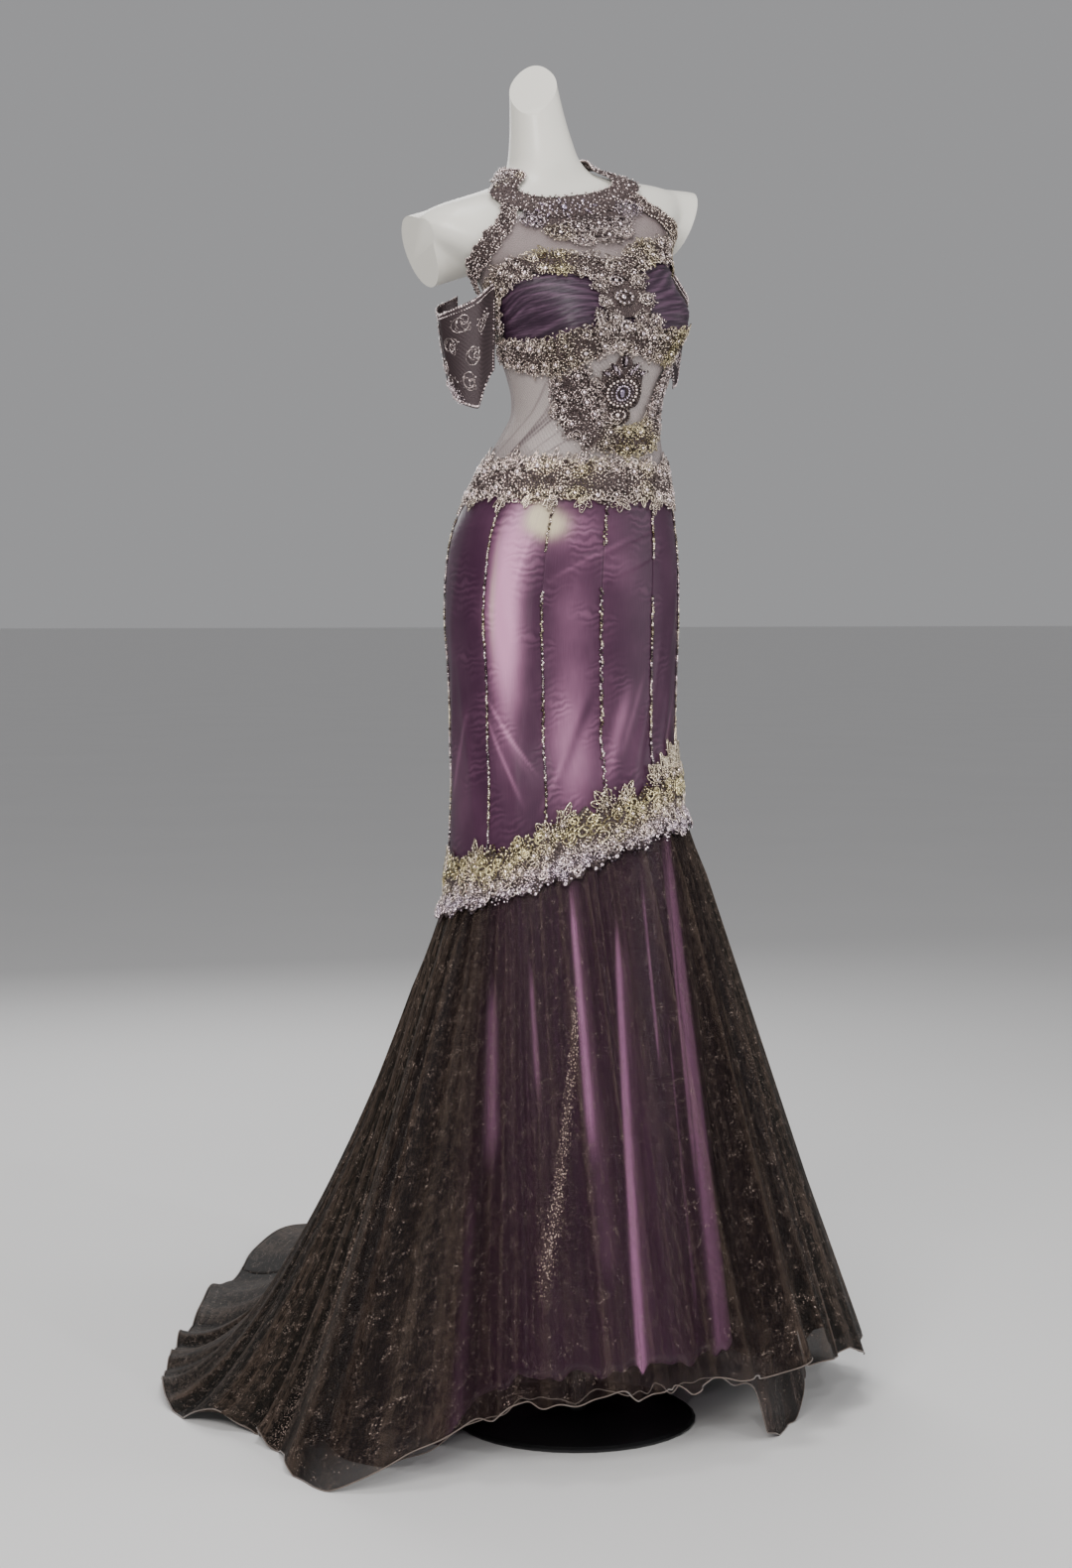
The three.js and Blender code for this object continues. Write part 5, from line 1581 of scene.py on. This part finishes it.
def dust(crust, turn, height, count, reach, gold, lilac, lift):
    """Small beads strewn round a flower."""
    angle = crust.rng.uniform(0, 6.28, count)
    away = crust.rng.uniform(0.3, 1.1, count) * reach
    crust.sew("bead", turn, height, crust.rng.uniform(0.9, 1.5, count), gold, lilac,
              away * np.cos(angle), away * np.sin(angle), lift)


def patchy(base, *spots):
    """A tone by s with soft spots: centre, width, rise."""
    def tone(s, side):
        s, side = np.broadcast_arrays(np.asarray(s, float), np.asarray(side, float))
        total = base + sum(rise * np.exp(-((s - at) / wide) ** 2) for at, wide, rise in spots)
        return np.clip(total + 0.0 * s, 0, 1)
    return tone


print("routes, lace and fillings are ready")

# %% [markdown]
# The six trims of the bodice differ only in their rows: the route, where it shines gold or
# lilac, how far the beads reach over the lace and how many scallops it has. The straps are
# small beads alone; the others carry flowers in two rows.

# %% The trims of the bodice
ROUTES = {
    "halter_strap_right": [(-28, 1496, 8), (-34, 1478, 8), (-46, 1464, 8), (-63, 1450, 8),
                           (-82, 1438, 8), (-99, 1422, 8.5), (-106, 1404, 9)],
    "halter_strap_left": [(22, 1496, 8), (29, 1479, 8), (42, 1463, 8), (61, 1447, 8),
                          (80, 1436, 8), (94, 1420, 8), (99, 1404, 8)],
    "border_right": [(-96, 1347, 9), (-95, 1374, 10), (-86, 1399, 12), (-66, 1418, 13),
                     (-44, 1424, 14), (-20, 1420, 15), (-3, 1400, 14)],
    "border_left": [(0, 1400, 14), (18, 1422, 15), (40, 1429, 14), (62, 1424, 13), (84, 1404, 11),
                    (95, 1380, 9), (96, 1355, 9)],
    "underbust_band": [(-106, 1330, 14), (-80, 1316, 19), (-55, 1311, 23), (-29, 1324, 21),
                       (-6, 1331, 15), (14, 1322, 16), (36, 1320, 19), (62, 1325, 18),
                       (106, 1338, 14)],
    "midriff_garland": [(-44, 1293, 23), (-37, 1264, 30), (-29, 1238, 27), (-13, 1216, 19),
                        (6, 1208, 17), (24, 1216, 17), (38, 1240, 19), (44, 1268, 21),
                        (45, 1299, 17)],
}
TRIM_TONES = {
    "halter_strap_right": (patchy(0.08), patchy(0.1)),
    "halter_strap_left": (patchy(0.1, (0.5, 0.2, 0.3)), patchy(0.05)),
    "border_right": (patchy(0.1, (0.75, 0.07, 0.9), (0.35, 0.1, 0.2)), patchy(0.05)),
    "border_left": (patchy(0.15, (0.2, 0.05, 0.6), (0.55, 0.07, 0.75)), patchy(0.05)),
    "underbust_band": (patchy(0.12, (0.73, 0.05, 0.9), (0.3, 0.08, 0.25)), patchy(0.05)),
    "midriff_garland": (patchy(0.04, (0.5, 0.08, 0.95), (0.62, 0.07, 0.8)), patchy(0.08)),
}
REACH = {"midriff_garland": 1.12, "underbust_band": 1.1}
SCALLOPS = {"halter_strap_right": 6, "halter_strap_left": 6, "border_right": 7, "border_left": 7,
            "underbust_band": 12, "midriff_garland": 10}

for node, rows in ROUTES.items():
    route = Route(rows)
    gold, lilac = TRIM_TONES[node]
    count = SCALLOPS[node]
    lace_band(node, [node], route, on_form, TRIM_LIFT, max(40, int(route.length / 3)), 8, 1.2,
              lambda u, side: edge_at(u, side, count))
    crust = form_crust(len(node) * 7 + count)
    lift = TRIM_LIFT + 1.0
    if node.startswith("halter"):
        fill(crust, route, 2.5, lift + 0.4, count, gold, lilac, small=1.0, big=1.5, power=0.7)
        edge_strings(crust, route, lift, count, gold, lilac, size=1.4)
    else:
        wide = REACH.get(node, 1.1)
        fill(crust, route, 3.4, lift, count, gold, lilac, reach=wide)
        edge_strings(crust, route, lift + 0.6, count * 2, gold, lilac, reach=wide * 1.03)
        for level in (-0.45 * wide, 0.45 * wide):
            dress(crust, route, lift, gold, lilac, 19, level, 0.15)
    if node == "midriff_garland":
        crust.rosette(-8, 1180, 6, 0.1, 0.2, lift=lift)
        crust.loop(-8, 1190, 14, 4, -math.pi / 2, 0.1, 0.2, lift=lift)
    crust.make(node + "_beads")

# %% [markdown]
# ## Collar, waist band and knee band
# The collar is a stiff band of lace crusted with small beads, edged by a row of larger ones. The
# waist band hides the waist seam and the knee band the slanted join. The knee band is the
# boldest trim: it is gold along its upper edge and silver-lilac along its lower, and its curls
# and flowers stand up from the cloth.

# %% Bands that run round
COLLAR_ROWS = [(-180, 1535, 1556), (-90, 1531, 1543), (-60, 1525, 1538), (-37, 1510, 1526),
               (-25, 1493, 1514), (-6, 1476, 1502), (10, 1481, 1506), (28, 1502, 1520),
               (42, 1520, 1534), (62, 1530, 1543), (90, 1534, 1547), (180, 1535, 1556)]
COLLAR = curves("turn low high", COLLAR_ROWS)


def collar_middle(turn):
    turn = wrap_turn(turn)
    return (COLLAR["low"](turn) + COLLAR["high"](turn)) / 2


def collar_half(turn):
    turn = wrap_turn(turn)
    return (COLLAR["high"](turn) - COLLAR["low"](turn)) / 2


collar = Ring(collar_middle, collar_half, 330.0)
lace_band("collar_band", ["collar_band"], collar, on_form, BAND_LIFT, 160, 8, 2.0,
          lambda u, side: np.ones(u.shape))
collar_gold, collar_lilac = patchy(0.06, (0.36, 0.03, 0.5)), patchy(0.12)
crust = form_crust(41)
fill(crust, collar, 2.5, BAND_LIFT + 1.0, 9, collar_gold, collar_lilac, small=1.1, big=1.7,
     reach=1.25, power=0.8)
COLLAR_BEADS = 112
edge_s = np.arange(COLLAR_BEADS) / COLLAR_BEADS
for sign, size in ((1, 1.7), (-1, 1.4)):
    a, b = collar.place(edge_s, sign * (collar.half(edge_s) + 0.6))
    crust.sew("bead", a, b, size, 0.05, 0.15, lift=BAND_LIFT + 2.2,
              bright=crust.rng.uniform(0.5, 1, COLLAR_BEADS))
a, b = collar.place(edge_s[::4], 0)
crust.sew("stone", a, b, 2.2, 0.05, 0.3, lift=BAND_LIFT + 3.6, bright=0.9)
crust.make("collar_band_beads")


def waist_half(turn):
    return 22 + 4 * np.abs(np.sin(np.radians(turn) * 10)) + 2.5 * np.sin(np.radians(turn) * 7 + 1)


waist = Ring(flat_edge(1160), waist_half, 690.0)
lace_band("waist_band", ["waist_band"], waist, on_form, BAND_LIFT, 240, 10, 1.6,
          lambda u, side: edge_at(u, side, 20))
crust = form_crust(43, 1.25)
waist_gold = patchy(0.1, (0.385, 0.03, 0.4), (0.455, 0.025, 0.7), (0.56, 0.02, 0.4))
waist_lilac = patchy(0.05)
edge_strings(crust, waist, BAND_LIFT + 1.2, 20, waist_gold, waist_lilac, size=1.4, reach=1.1)
for part, pitch, step in (((0.15, 0.72), 3.7, 19), ((0, 0.15), 4.8, 27), ((0.72, 1), 4.8, 27)):
    fill(crust, waist, pitch, BAND_LIFT + 0.8, 20, waist_gold, waist_lilac, part=part, reach=1.15,
         power=1.2)
    for level in (-0.58, 0.5):
        dress(crust, waist, BAND_LIFT + 1.0, waist_gold, waist_lilac, step, level, 0.2, part=part,
              size=10.5, curl=8)
for turn in (-96, -70, -52, -38, -20, -2, 22, 48, 75, 110, 150, -150, -120):
    climb = crust.rng.uniform(0.7, 1.3)
    for lean in (-0.6, 0, 0.6):
        crust.loop(turn, 1178, (19 - 9 * abs(lean)) * climb, 4.5, math.pi / 2 + lean, 0.15, 0.1,
                   lift=BAND_LIFT + 1.8)
        crust.loop(turn + 7, 1139, (15 - 6 * abs(lean)) * climb, 4, -math.pi / 2 + lean, 0.35, 0.05,
                   lift=BAND_LIFT + 1.8)
    crust.flower(turn, 1183, 7.5, 0.12, 0.1, lift=BAND_LIFT + 1.8)
    dust(crust, turn, 1184, 16, 10, 0.12, 0.1, BAND_LIFT + 1.2)
crust.make("waist_band_beads")

# %% [markdown]
# The knee band lies on two surfaces: on the hips above the join and over the flare's gathers
# below it. One skin joins them, read by a turn and a height above the join, so that the band's
# lace and beads are laid out as if it were flat.

# %% The knee band
KNEE_CLEAR = 2.3
KNEE_LIFTS = Curve([-1, 0, 14, 30], [OUTER.lift + WALL + OUTER.gather + KNEE_CLEAR] * 2
                   + [TRIM_LIFT + 0.4, TRIM_LIFT])
FIRST_ROW = (1 / 6) ** 1.15
KNEE_DEGREE = 2.45  # mm to a degree of turn
KNEE_LOW, KNEE_HIGH = -22.0, 70.0


def knee_skin(turn, up, lift):
    """The knee band's surface: on the hips above the join, over the gathers below it."""
    turn, up, lift = np.broadcast_arrays(*[np.asarray(x, float) for x in (turn, up, lift)])
    above = on_form(turn, join_height(turn) + np.maximum(up, -2), KNEE_LIFTS(up) + lift)
    along = along_at(turn)
    top = OUTER.plain(along, np.zeros(along.shape))
    low_t = np.full(along.shape, FIRST_ROW)
    low, normal = OUTER.plain(along, low_t), OUTER.normal(along, low_t)
    share = -up / np.linalg.norm(low - top, axis=-1)
    fold = OUTER.gather * (1 - FIRST_ROW * share) + OUTER.depth * FIRST_ROW**1.15 * share
    raised = (fold + WALL + KNEE_CLEAR + lift)[..., None]
    below = top + (low - top) * share[..., None] + normal * raised
    blend = np.clip((up + 2) / 4, 0, 1)[..., None]
    return below * (1 - blend) + above * blend


def knee_scale(turn, up):
    return np.full(np.shape(turn), KNEE_DEGREE), 1.0


def knee_edge(u, side):
    """The band's uneven outline: its scallops, swung wider and narrower by two waves round it."""
    swing = 0.08 * np.sin(2 * np.pi * 5 * u) + 0.06 * np.sin(2 * np.pi * 13 * u + 1)
    return edge_at(u, side, 22) * (0.86 + swing)


def knee_tone(base, by_side, swing, waves, most):
    """A tone that changes across the band and swings a little along it."""
    def tone(s, side):
        s, side = np.broadcast_arrays(np.asarray(s, float), np.asarray(side, float))
        return np.clip(base + by_side * side + swing * np.sin(waves * s), 0, most)
    return tone


knee_gold = knee_tone(0.5, 0.9, 0.15, 40, 0.9)
knee_lilac = knee_tone(0.1, -0.5, 0.1, 31, 0.5)
knee = Ring(flat_edge((KNEE_HIGH + KNEE_LOW) / 2), flat_edge((KNEE_HIGH - KNEE_LOW) / 2), 900.0)
lace_band("knee_band", ["knee_band_front", "knee_band_back"], knee, knee_skin, 0.0, 320, 16, 3.0,
          knee_edge)
SPRAY_BEADS = 26
# turn, first height above the join, length, lean: leaves that climb above the band
SPRAYS = [(-69, 44, 34, 0.1), (-72, 40, 24, 0.7), (-28, 52, 22, 0.6), (-20, 56, 26, -0.4),
          (0, 60, 24, 0.5), (8, 58, 20, -0.6), (28, 62, 24, 0.5), (36, 62, 30, 0.2),
          (44, 60, 44, 0.15), (52, 60, 56, -0.1), (58, 60, 40, 0.4), (-100, 50, 28, 0.3),
          (-125, 52, 24, -0.4), (90, 56, 30, -0.3), (118, 54, 26, 0.4), (150, 52, 26, 0.2),
          (-155, 52, 28, -0.2), (178, 54, 24, 0.3)]


# level on the band, step and size in mm of its rows of flowers
KNEE_ROWS = [(-0.68, 13, 7.5), (-0.36, 15, 9.0), (0.0, 18, 9.5), (0.34, 18, 9.5), (0.66, 20, 8.5)]


def knee_crust(name, part, seed):
    crust = Crust(knee_skin, knee_scale, seed, 1.3)
    own = crust.rng
    share = part[1] - part[0]
    fill(crust, knee, 4.2, 1.4, 22, knee_gold, knee_lilac, small=1.1, big=1.9, part=part,
         reach=0.9)
    for level, step, size in KNEE_ROWS:
        count = int(knee.length * share / step)
        s = part[0] + (np.arange(count) + 0.5 + own.uniform(-0.3, 0.3, count)) / count * share
        side = level + own.uniform(-0.1, 0.1, count)
        a, b = knee.place(s, side * knee.half(s) * knee_edge(s, side))
        golds, lilacs = knee_gold(s, side), knee_lilac(s, side)
        for k in range(count):
            gold, lilac = float(golds[k]), float(lilacs[k])
            if own.random() < 0.62 - 0.35 * level:
                crust.flower(a[k], b[k], size * own.uniform(0.8, 1.15), gold, lilac,
                             petals=5 + k % 2, turn=own.uniform(0, 2), lift=4.0)
            else:
                for turn in own.uniform(0, 6.28, 2):
                    crust.curl(a[k], b[k], size * own.uniform(0.7, 1.05), turn, min(1, gold + 0.15),
                               lilac * 0.5, lift=own.uniform(3.2, 5.6), radius=1.25,
                               hand=1 if own.random() < 0.5 else -1, turns=own.uniform(0.75, 1.2))
            crust.curl(a[k] + own.uniform(-4, 4), b[k] + own.uniform(-8, 8), own.uniform(5, 8),
                       own.uniform(0, 6.28), min(1, gold + 0.2), lilac * 0.5,
                       lift=own.uniform(3.4, 5.4), radius=1.05)
    count = int(knee.length * share / 6.5)
    s = np.linspace(*part, count)
    a, b = knee.place(s, -knee.half(s) * knee_edge(s, -1.0) * own.uniform(0.78, 1.0, count))
    crust.sew("stone", a, b, own.uniform(2.0, 3.4, count), 0.05, 0.35, lift=4.2, tilt=0.5,
              bright=own.uniform(0.4, 1, count))
    a, b = knee.place(s, knee.half(s) * knee_edge(s, 1.0) * own.uniform(0.85, 1.0, count))
    crust.sew("bead", a, b, own.uniform(1.4, 2.2, count), 0.7, 0, lift=3.4)
    for turn, first, length, lean in SPRAYS:
        if not part[0] <= (turn + 180) / 360 < part[1]:
            continue
        for extra in (-0.55, 0, 0.55):
            crust.loop(turn, first, length * (1 - 0.45 * abs(extra)), 5.5,
                       math.pi / 2 + lean + extra, 0.6, 0.05, lift=2.6, radius=0.95)
        crust.flower(turn, first, 8, 0.5, 0.1, lift=3.6)
        crust.sew("bead", turn, first, own.uniform(1.1, 1.9, SPRAY_BEADS), 0.5, 0.1,
                  own.normal(0, 6, SPRAY_BEADS), own.uniform(-8, length * 0.8, SPRAY_BEADS), 2.4)
    crust.make(name)


for quarter, start, seed in (("front", 0.25, 51), ("left", 0.5, 54), ("back_right", 0.0, 52),
                             ("back_left", 0.75, 53)):
    knee_crust(f"knee_band_{quarter}_beads", (start, start + 0.25), seed)

# %% [markdown]
# ## Motifs at the throat, between the cups and on the midriff
# Under the collar hang star flowers in a cluster, with one large lilac flower on the collar
# itself. The panel between the cups is a block of flowers and three rosettes. On the midriff a
# long oval jewel sits alone on the net: a cut stone in rings of beads, a crown of leaves above
# it and a drop below.


# %% Motifs
def oval(count, wide, tall):
    angle = even_angles(count)
    return wide * np.cos(angle), tall * np.sin(angle)


def panel_lace(name, start, end, low, high, lift):
    spot = between(start, end, low, high)

    def lay(u, v):
        return on_form(*spot(u, v), np.full(u.shape, lift))

    return hide_behind(cloth(name + "_lace", 40, 24, lay, LACE, thick=1.0), name)


DROP = Curve([-25, -18, -8, 2, 10, 17], [8, 28, 32, 36, 30, 12])
panel_lace("collar_cluster", -22, 14, lambda t: COLLAR["low"](t) - 0.5 - 0.72 * DROP(t),
           shifted(COLLAR["low"], -0.5), BAND_LIFT)
crust = form_crust(61)
# turn, mm below the collar, size, lilac
STARS = [(-22, 12, 11, 0.5), (-15, 23, 12, 0.0), (-6, 13, 11, 0.1), (-8, 30, 9, 0.1),
         (2, 12, 12, 0.2), (4, 28, 12, 0.05), (11, 20, 12, 0.2), (18, 9, 12, 0.5), (13, 32, 8, 0.1)]
for turn, down, size, lilac in STARS:
    level = float(COLLAR["low"](turn)) - down
    gold = 0.3 if turn == -15 else 0.06
    crust.flower(turn, level, size, gold, lilac, petals=6, turn=turn * 0.3, lift=BAND_LIFT + 2)
    dust(crust, turn, level, 22, size, gold, lilac * 0.6, BAND_LIFT + 1.4)
    for k in range(3):
        crust.curl(turn, level, size * 0.9, 2.1 * k + turn, gold, lilac * 0.5, lift=BAND_LIFT + 2)
crust.make("collar_cluster_beads")

crust = form_crust(62)
THROAT = (-7, 1487)
for size, reach, count, lilac in ((1.3, 5.8, 14, 0.7), (1.5, 9.0, 18, 0.4)):
    crust.sew("bead", *THROAT, size, 0.0, lilac, *oval(count, 1.15 * reach, 0.9 * reach),
              BAND_LIFT + 5.2, bright=0.9)
crust.sew("stone", *THROAT, 4.4, 0, 0.95, lift=BAND_LIFT + 5.0, tilt=0.0, bright=0.7)
crust.sew("leaf", *THROAT, 4.4, 0.0, 0.6, *oval(8, 12.5, 10), BAND_LIFT + 3.6,
          spin=even_angles(8), tilt=0.1, bright=0.8)
hide_behind(crust.make("collar_flower_stones"), "collar_flower")

panel_lace("centre_panel", -15, 12, flat_edge(1352), flat_edge(1394), TRIM_LIFT)
crust = form_crust(63)
# turn, height, size, and whether it is a rosette
PANEL = [(-2, 1374, 11, True), (-14, 1388, 9, False), (9, 1390, 9, False), (-15, 1368, 9, False),
         (11, 1370, 9, False), (-11, 1352, 9, False), (6, 1351, 9, False), (-3, 1394, 8, True),
         (-21, 1354, 8, False), (-19, 1341, 9, False), (14, 1346, 8, False), (-3, 1342, 9, True)]
for turn, level, size, is_rosette in PANEL:
    if is_rosette:
        crust.rosette(turn, level, size * 0.8, 0.1, 0.35, beads=11, lift=TRIM_LIFT + 3)
    else:
        crust.flower(turn, level, size, 0.15, 0.1, turn=level, lift=TRIM_LIFT + 2.4)
    for k in range(3):
        crust.curl(turn, level, size * 0.85, 2.1 * k + turn, 0.2, 0.1, lift=TRIM_LIFT + 2.6)
    dust(crust, turn, level, 26, size * 1.15, 0.15, 0.1, TRIM_LIFT + 1.8)
crust.make("centre_panel_beads")

# %% [markdown]
# The jewel hangs alone, so its dark lace is cut to its outline: the rows give the half width at
# each height above its centre. Its beads lie in ovals, given from the stone outwards.

# %% The jewel
crust = form_crust(64)
JEWEL, DROP_DOWN = (-2, 1266), -27
JEWEL_LOW, JEWEL_TALL = -39, 85
JEWEL_LACE = Curve(*zip((-39, 4), (-34, 11), (-27, 13), (-20, 11), (-16, 18), (0, 22), (13, 20),
                        (20, 19), (26, 18), (30, 9), (37, 6), (46, 1)))


def jewel_lay(u, v):
    up = JEWEL_LOW + JEWEL_TALL * v
    turn = JEWEL[0] + (2 * u - 1) * JEWEL_LACE(up) / form_scale(*JEWEL)[0]
    return on_form(turn, JEWEL[1] + up, np.full(u.shape, TRIM_LIFT - 0.6))


hide_behind(cloth("midriff_jewel_lace", 16, 42, jewel_lay, LACE, thick=1.0),
            "midriff_jewel")


# beads, half width, half height, offset up, bead size, lilac, brightness, lift
OVALS = [(18, 5.6, 8.8, 0, 1.5, 0.75, 1.0, 6.0), (20, 9.6, 12.4, 0, 1.7, 0.35, 0.55, 5.0),
         (22, 13.6, 15.6, 0, 2.1, 0.1, 0.95, 4.4), (34, 17.0, 18.4, 0, 1.5, 0.1, 0.3, 3.0),
         (42, 20.0, 20.6, 0, 1.5, 0.05, 0.4, 1.6), (14, 6.0, 5.6, DROP_DOWN, 1.6, 0.1, 0.9, 4.0),
         (22, 11.4, 10.4, DROP_DOWN, 1.6, 0.0, 0.4, 2.0)]
for count, wide, tall, offset, size, lilac, bright, lift in OVALS:
    dx, dy = oval(count, wide, tall)
    glint = np.clip(bright + crust.rng.uniform(-0.35, 0.2, count), 0, 1)
    crust.sew("bead", *JEWEL, size, 0.12, lilac, dx, dy + offset, TRIM_LIFT + lift, bright=glint)
crust.sew("stone", *JEWEL, 4.2, 0, 0.95, 0, 0, TRIM_LIFT + 5.6, spin=math.pi / 2, tilt=0,
          stretch=1.6, bright=0.4)
crust.sew("stone", *JEWEL, 3.4, 0.3, 0.3, 0, DROP_DOWN, TRIM_LIFT + 3.6, tilt=0, bright=1.0)
# the crown: across, up, half length and direction in degrees of each leaf; the larger dark leaf
# under each bright one is coloured as a painted shadow
for dx, dy, size, spin in [(0, 37, 9, 90), (-9, 29, 8, 128), (9, 29, 8, 52), (-16, 23, 7, 160),
                           (16, 23, 7, 20), (-5, 24, 6, 110), (5, 24, 6, 70)]:
    lean = math.radians(spin)
    crust.sew("leaf", *JEWEL, size, 0.1, 0.2, dx, dy, TRIM_LIFT + 2.0, spin=lean, tilt=0.0,
              bright=0.1)
    crust.sew("leaf", *JEWEL, size * 0.62, 0.0, 0.5, dx, dy, TRIM_LIFT + 3.8, spin=lean, tilt=0.0,
              bright=0.85)
    along = np.linspace(-0.9, 0.9, 6) * size
    bow = 0.42 * size * np.cos(along / size * 1.5)
    for sign in (1, -1):
        across = along * math.cos(lean) - sign * bow * math.sin(lean)
        upward = along * math.sin(lean) + sign * bow * math.cos(lean)
        crust.sew("bead", *JEWEL, 1.1, 0.1, 0.2, dx + across, dy + upward, TRIM_LIFT + 3.0)
crust.make("midriff_jewel_stones")

# %% [markdown]
# ## Beaded lines on the hip seams
# A string of beads with small leaves covers each seam of the hips. On the front seams the
# string stops between the hip and the thigh, as the photograph shows, and starts again lower
# down.

# %% Seam beads
# turn, first and last height of each stretch; 0 stands for the knee band's upper edge
SEAM_STRETCHES = [(-62, 0, 1140), (-28, 1078, 1140), (-28, 0, 1030), (0, 1086, 1140),
                  (0, 0, 1032), (28, 1070, 1140), (28, 0, 1024), (62, 0, 1140), (-110, 0, 1140),
                  (110, 0, 1140), (145, 0, 1140), (-145, 0, 1140), (180, 0, 1140)]
BAND_TOP, SEAM_PITCH = 58, 2.7
crust = form_crust(71)
own = crust.rng
for turn, first, last in SEAM_STRETCHES:
    start = float(join_height(turn)) + BAND_TOP if first == 0 else first
    height = np.arange(start, last, SEAM_PITCH)
    n = len(height)
    warm = np.clip(0.3 + 0.5 * np.sin(height / 17) + own.uniform(-0.2, 0.2, n), 0, 1)
    crust.sew("bead", turn, height, own.uniform(1.4, 2.2, n), warm, own.uniform(0, 0.35, n),
              own.uniform(-1.0, 1.0, n), 0, CLOTH_LIFT + 1.9, tilt=0.5,
              bright=own.uniform(0.1, 1.1, n) ** 1.2)
    some = height[::8]
    crust.sew("leaf", turn, some, 3.4, 0.5, 0.1, own.uniform(-0.5, 0.5, len(some)), 0,
              CLOTH_LIFT + 1.8, spin=math.pi / 2, bright=0.6)
crust.make("hip_seam_beads")

# %% [markdown]
# ## Embroidery on the sleeves
# The sleeves carry a string of beads along every edge, flowers in a cluster at the middle of
# the lower edge, and thin wire scrolls over the net.


# %% Sleeve beads
SLEEVE_WIDE, SLEEVE_TALL = 150.0, 100.0  # mm to the whole of u and of v
TOP_BEADS, END_BEADS = 64, 28


def sleeve_scale(u, v):
    return SLEEVE_WIDE, SLEEVE_TALL


SCROLLS = [(0.2, 0.75), (0.32, 0.55), (0.42, 0.8), (0.5, 0.35), (0.6, 0.62), (0.68, 0.82),
           (0.76, 0.5), (0.86, 0.72), (0.56, 0.18), (0.44, 0.14), (0.3, 0.28), (0.72, 0.25)]


def sleeve_crust(side, seed):
    crust = Crust(sleeve_skin(side), sleeve_scale, seed, 1.15)
    own = crust.rng
    edge, end = np.linspace(0.01, 0.99, TOP_BEADS), np.linspace(0.03, 0.97, END_BEADS)
    for v, size in ((0.985, 1.9), (0.94, 1.3), (0.02, 1.7)):
        crust.sew("bead", edge, v, own.uniform(size * 0.7, size * 1.2, TOP_BEADS), 0.08, 0.2,
                  lift=1.2, bright=own.uniform(0.4, 1, TOP_BEADS))
    for u in (0.012, 0.988):
        crust.sew("bead", u, end, own.uniform(1.0, 1.6, END_BEADS), 0.1, 0.2, lift=1.0)
    for u, v in SCROLLS:
        for k in range(3):
            crust.curl(u, v, own.uniform(7, 12), 2.1 * k + 9 * u, 0.1, 0.15, lift=1.1, radius=0.5,
                       turns=own.uniform(0.8, 1.2), hand=1 if k % 2 else -1)
        crust.loop(u, v, 12, 3.5, 5 * u + 2, 0.1, 0.2, lift=1.1, radius=0.5)
        dust(crust, u, v, 9, 11, 0.1, 0.2, 1.1)
    for u, v in [(0.5, 0.05), (0.44, 0.12), (0.56, 0.12), (0.38, 0.06), (0.62, 0.06)]:
        crust.flower(u, v, 8, 0.02, 0.3, lift=1.4)
    crust.make(f"sleeve_{side}_beads")


sleeve_crust("right", 81)
sleeve_crust("left", 82)


# %% Finish
def floor_finish():
    f = Finish("pale_floor", roughness=0.75)
    cloud = f.noise(f.place(), 1.2, 2)
    f.set("Base Color", f.mix(cloud, (0.74, 0.735, 0.73), (0.78, 0.775, 0.77)))
    return f.material


floor.data.materials.append(floor_finish())
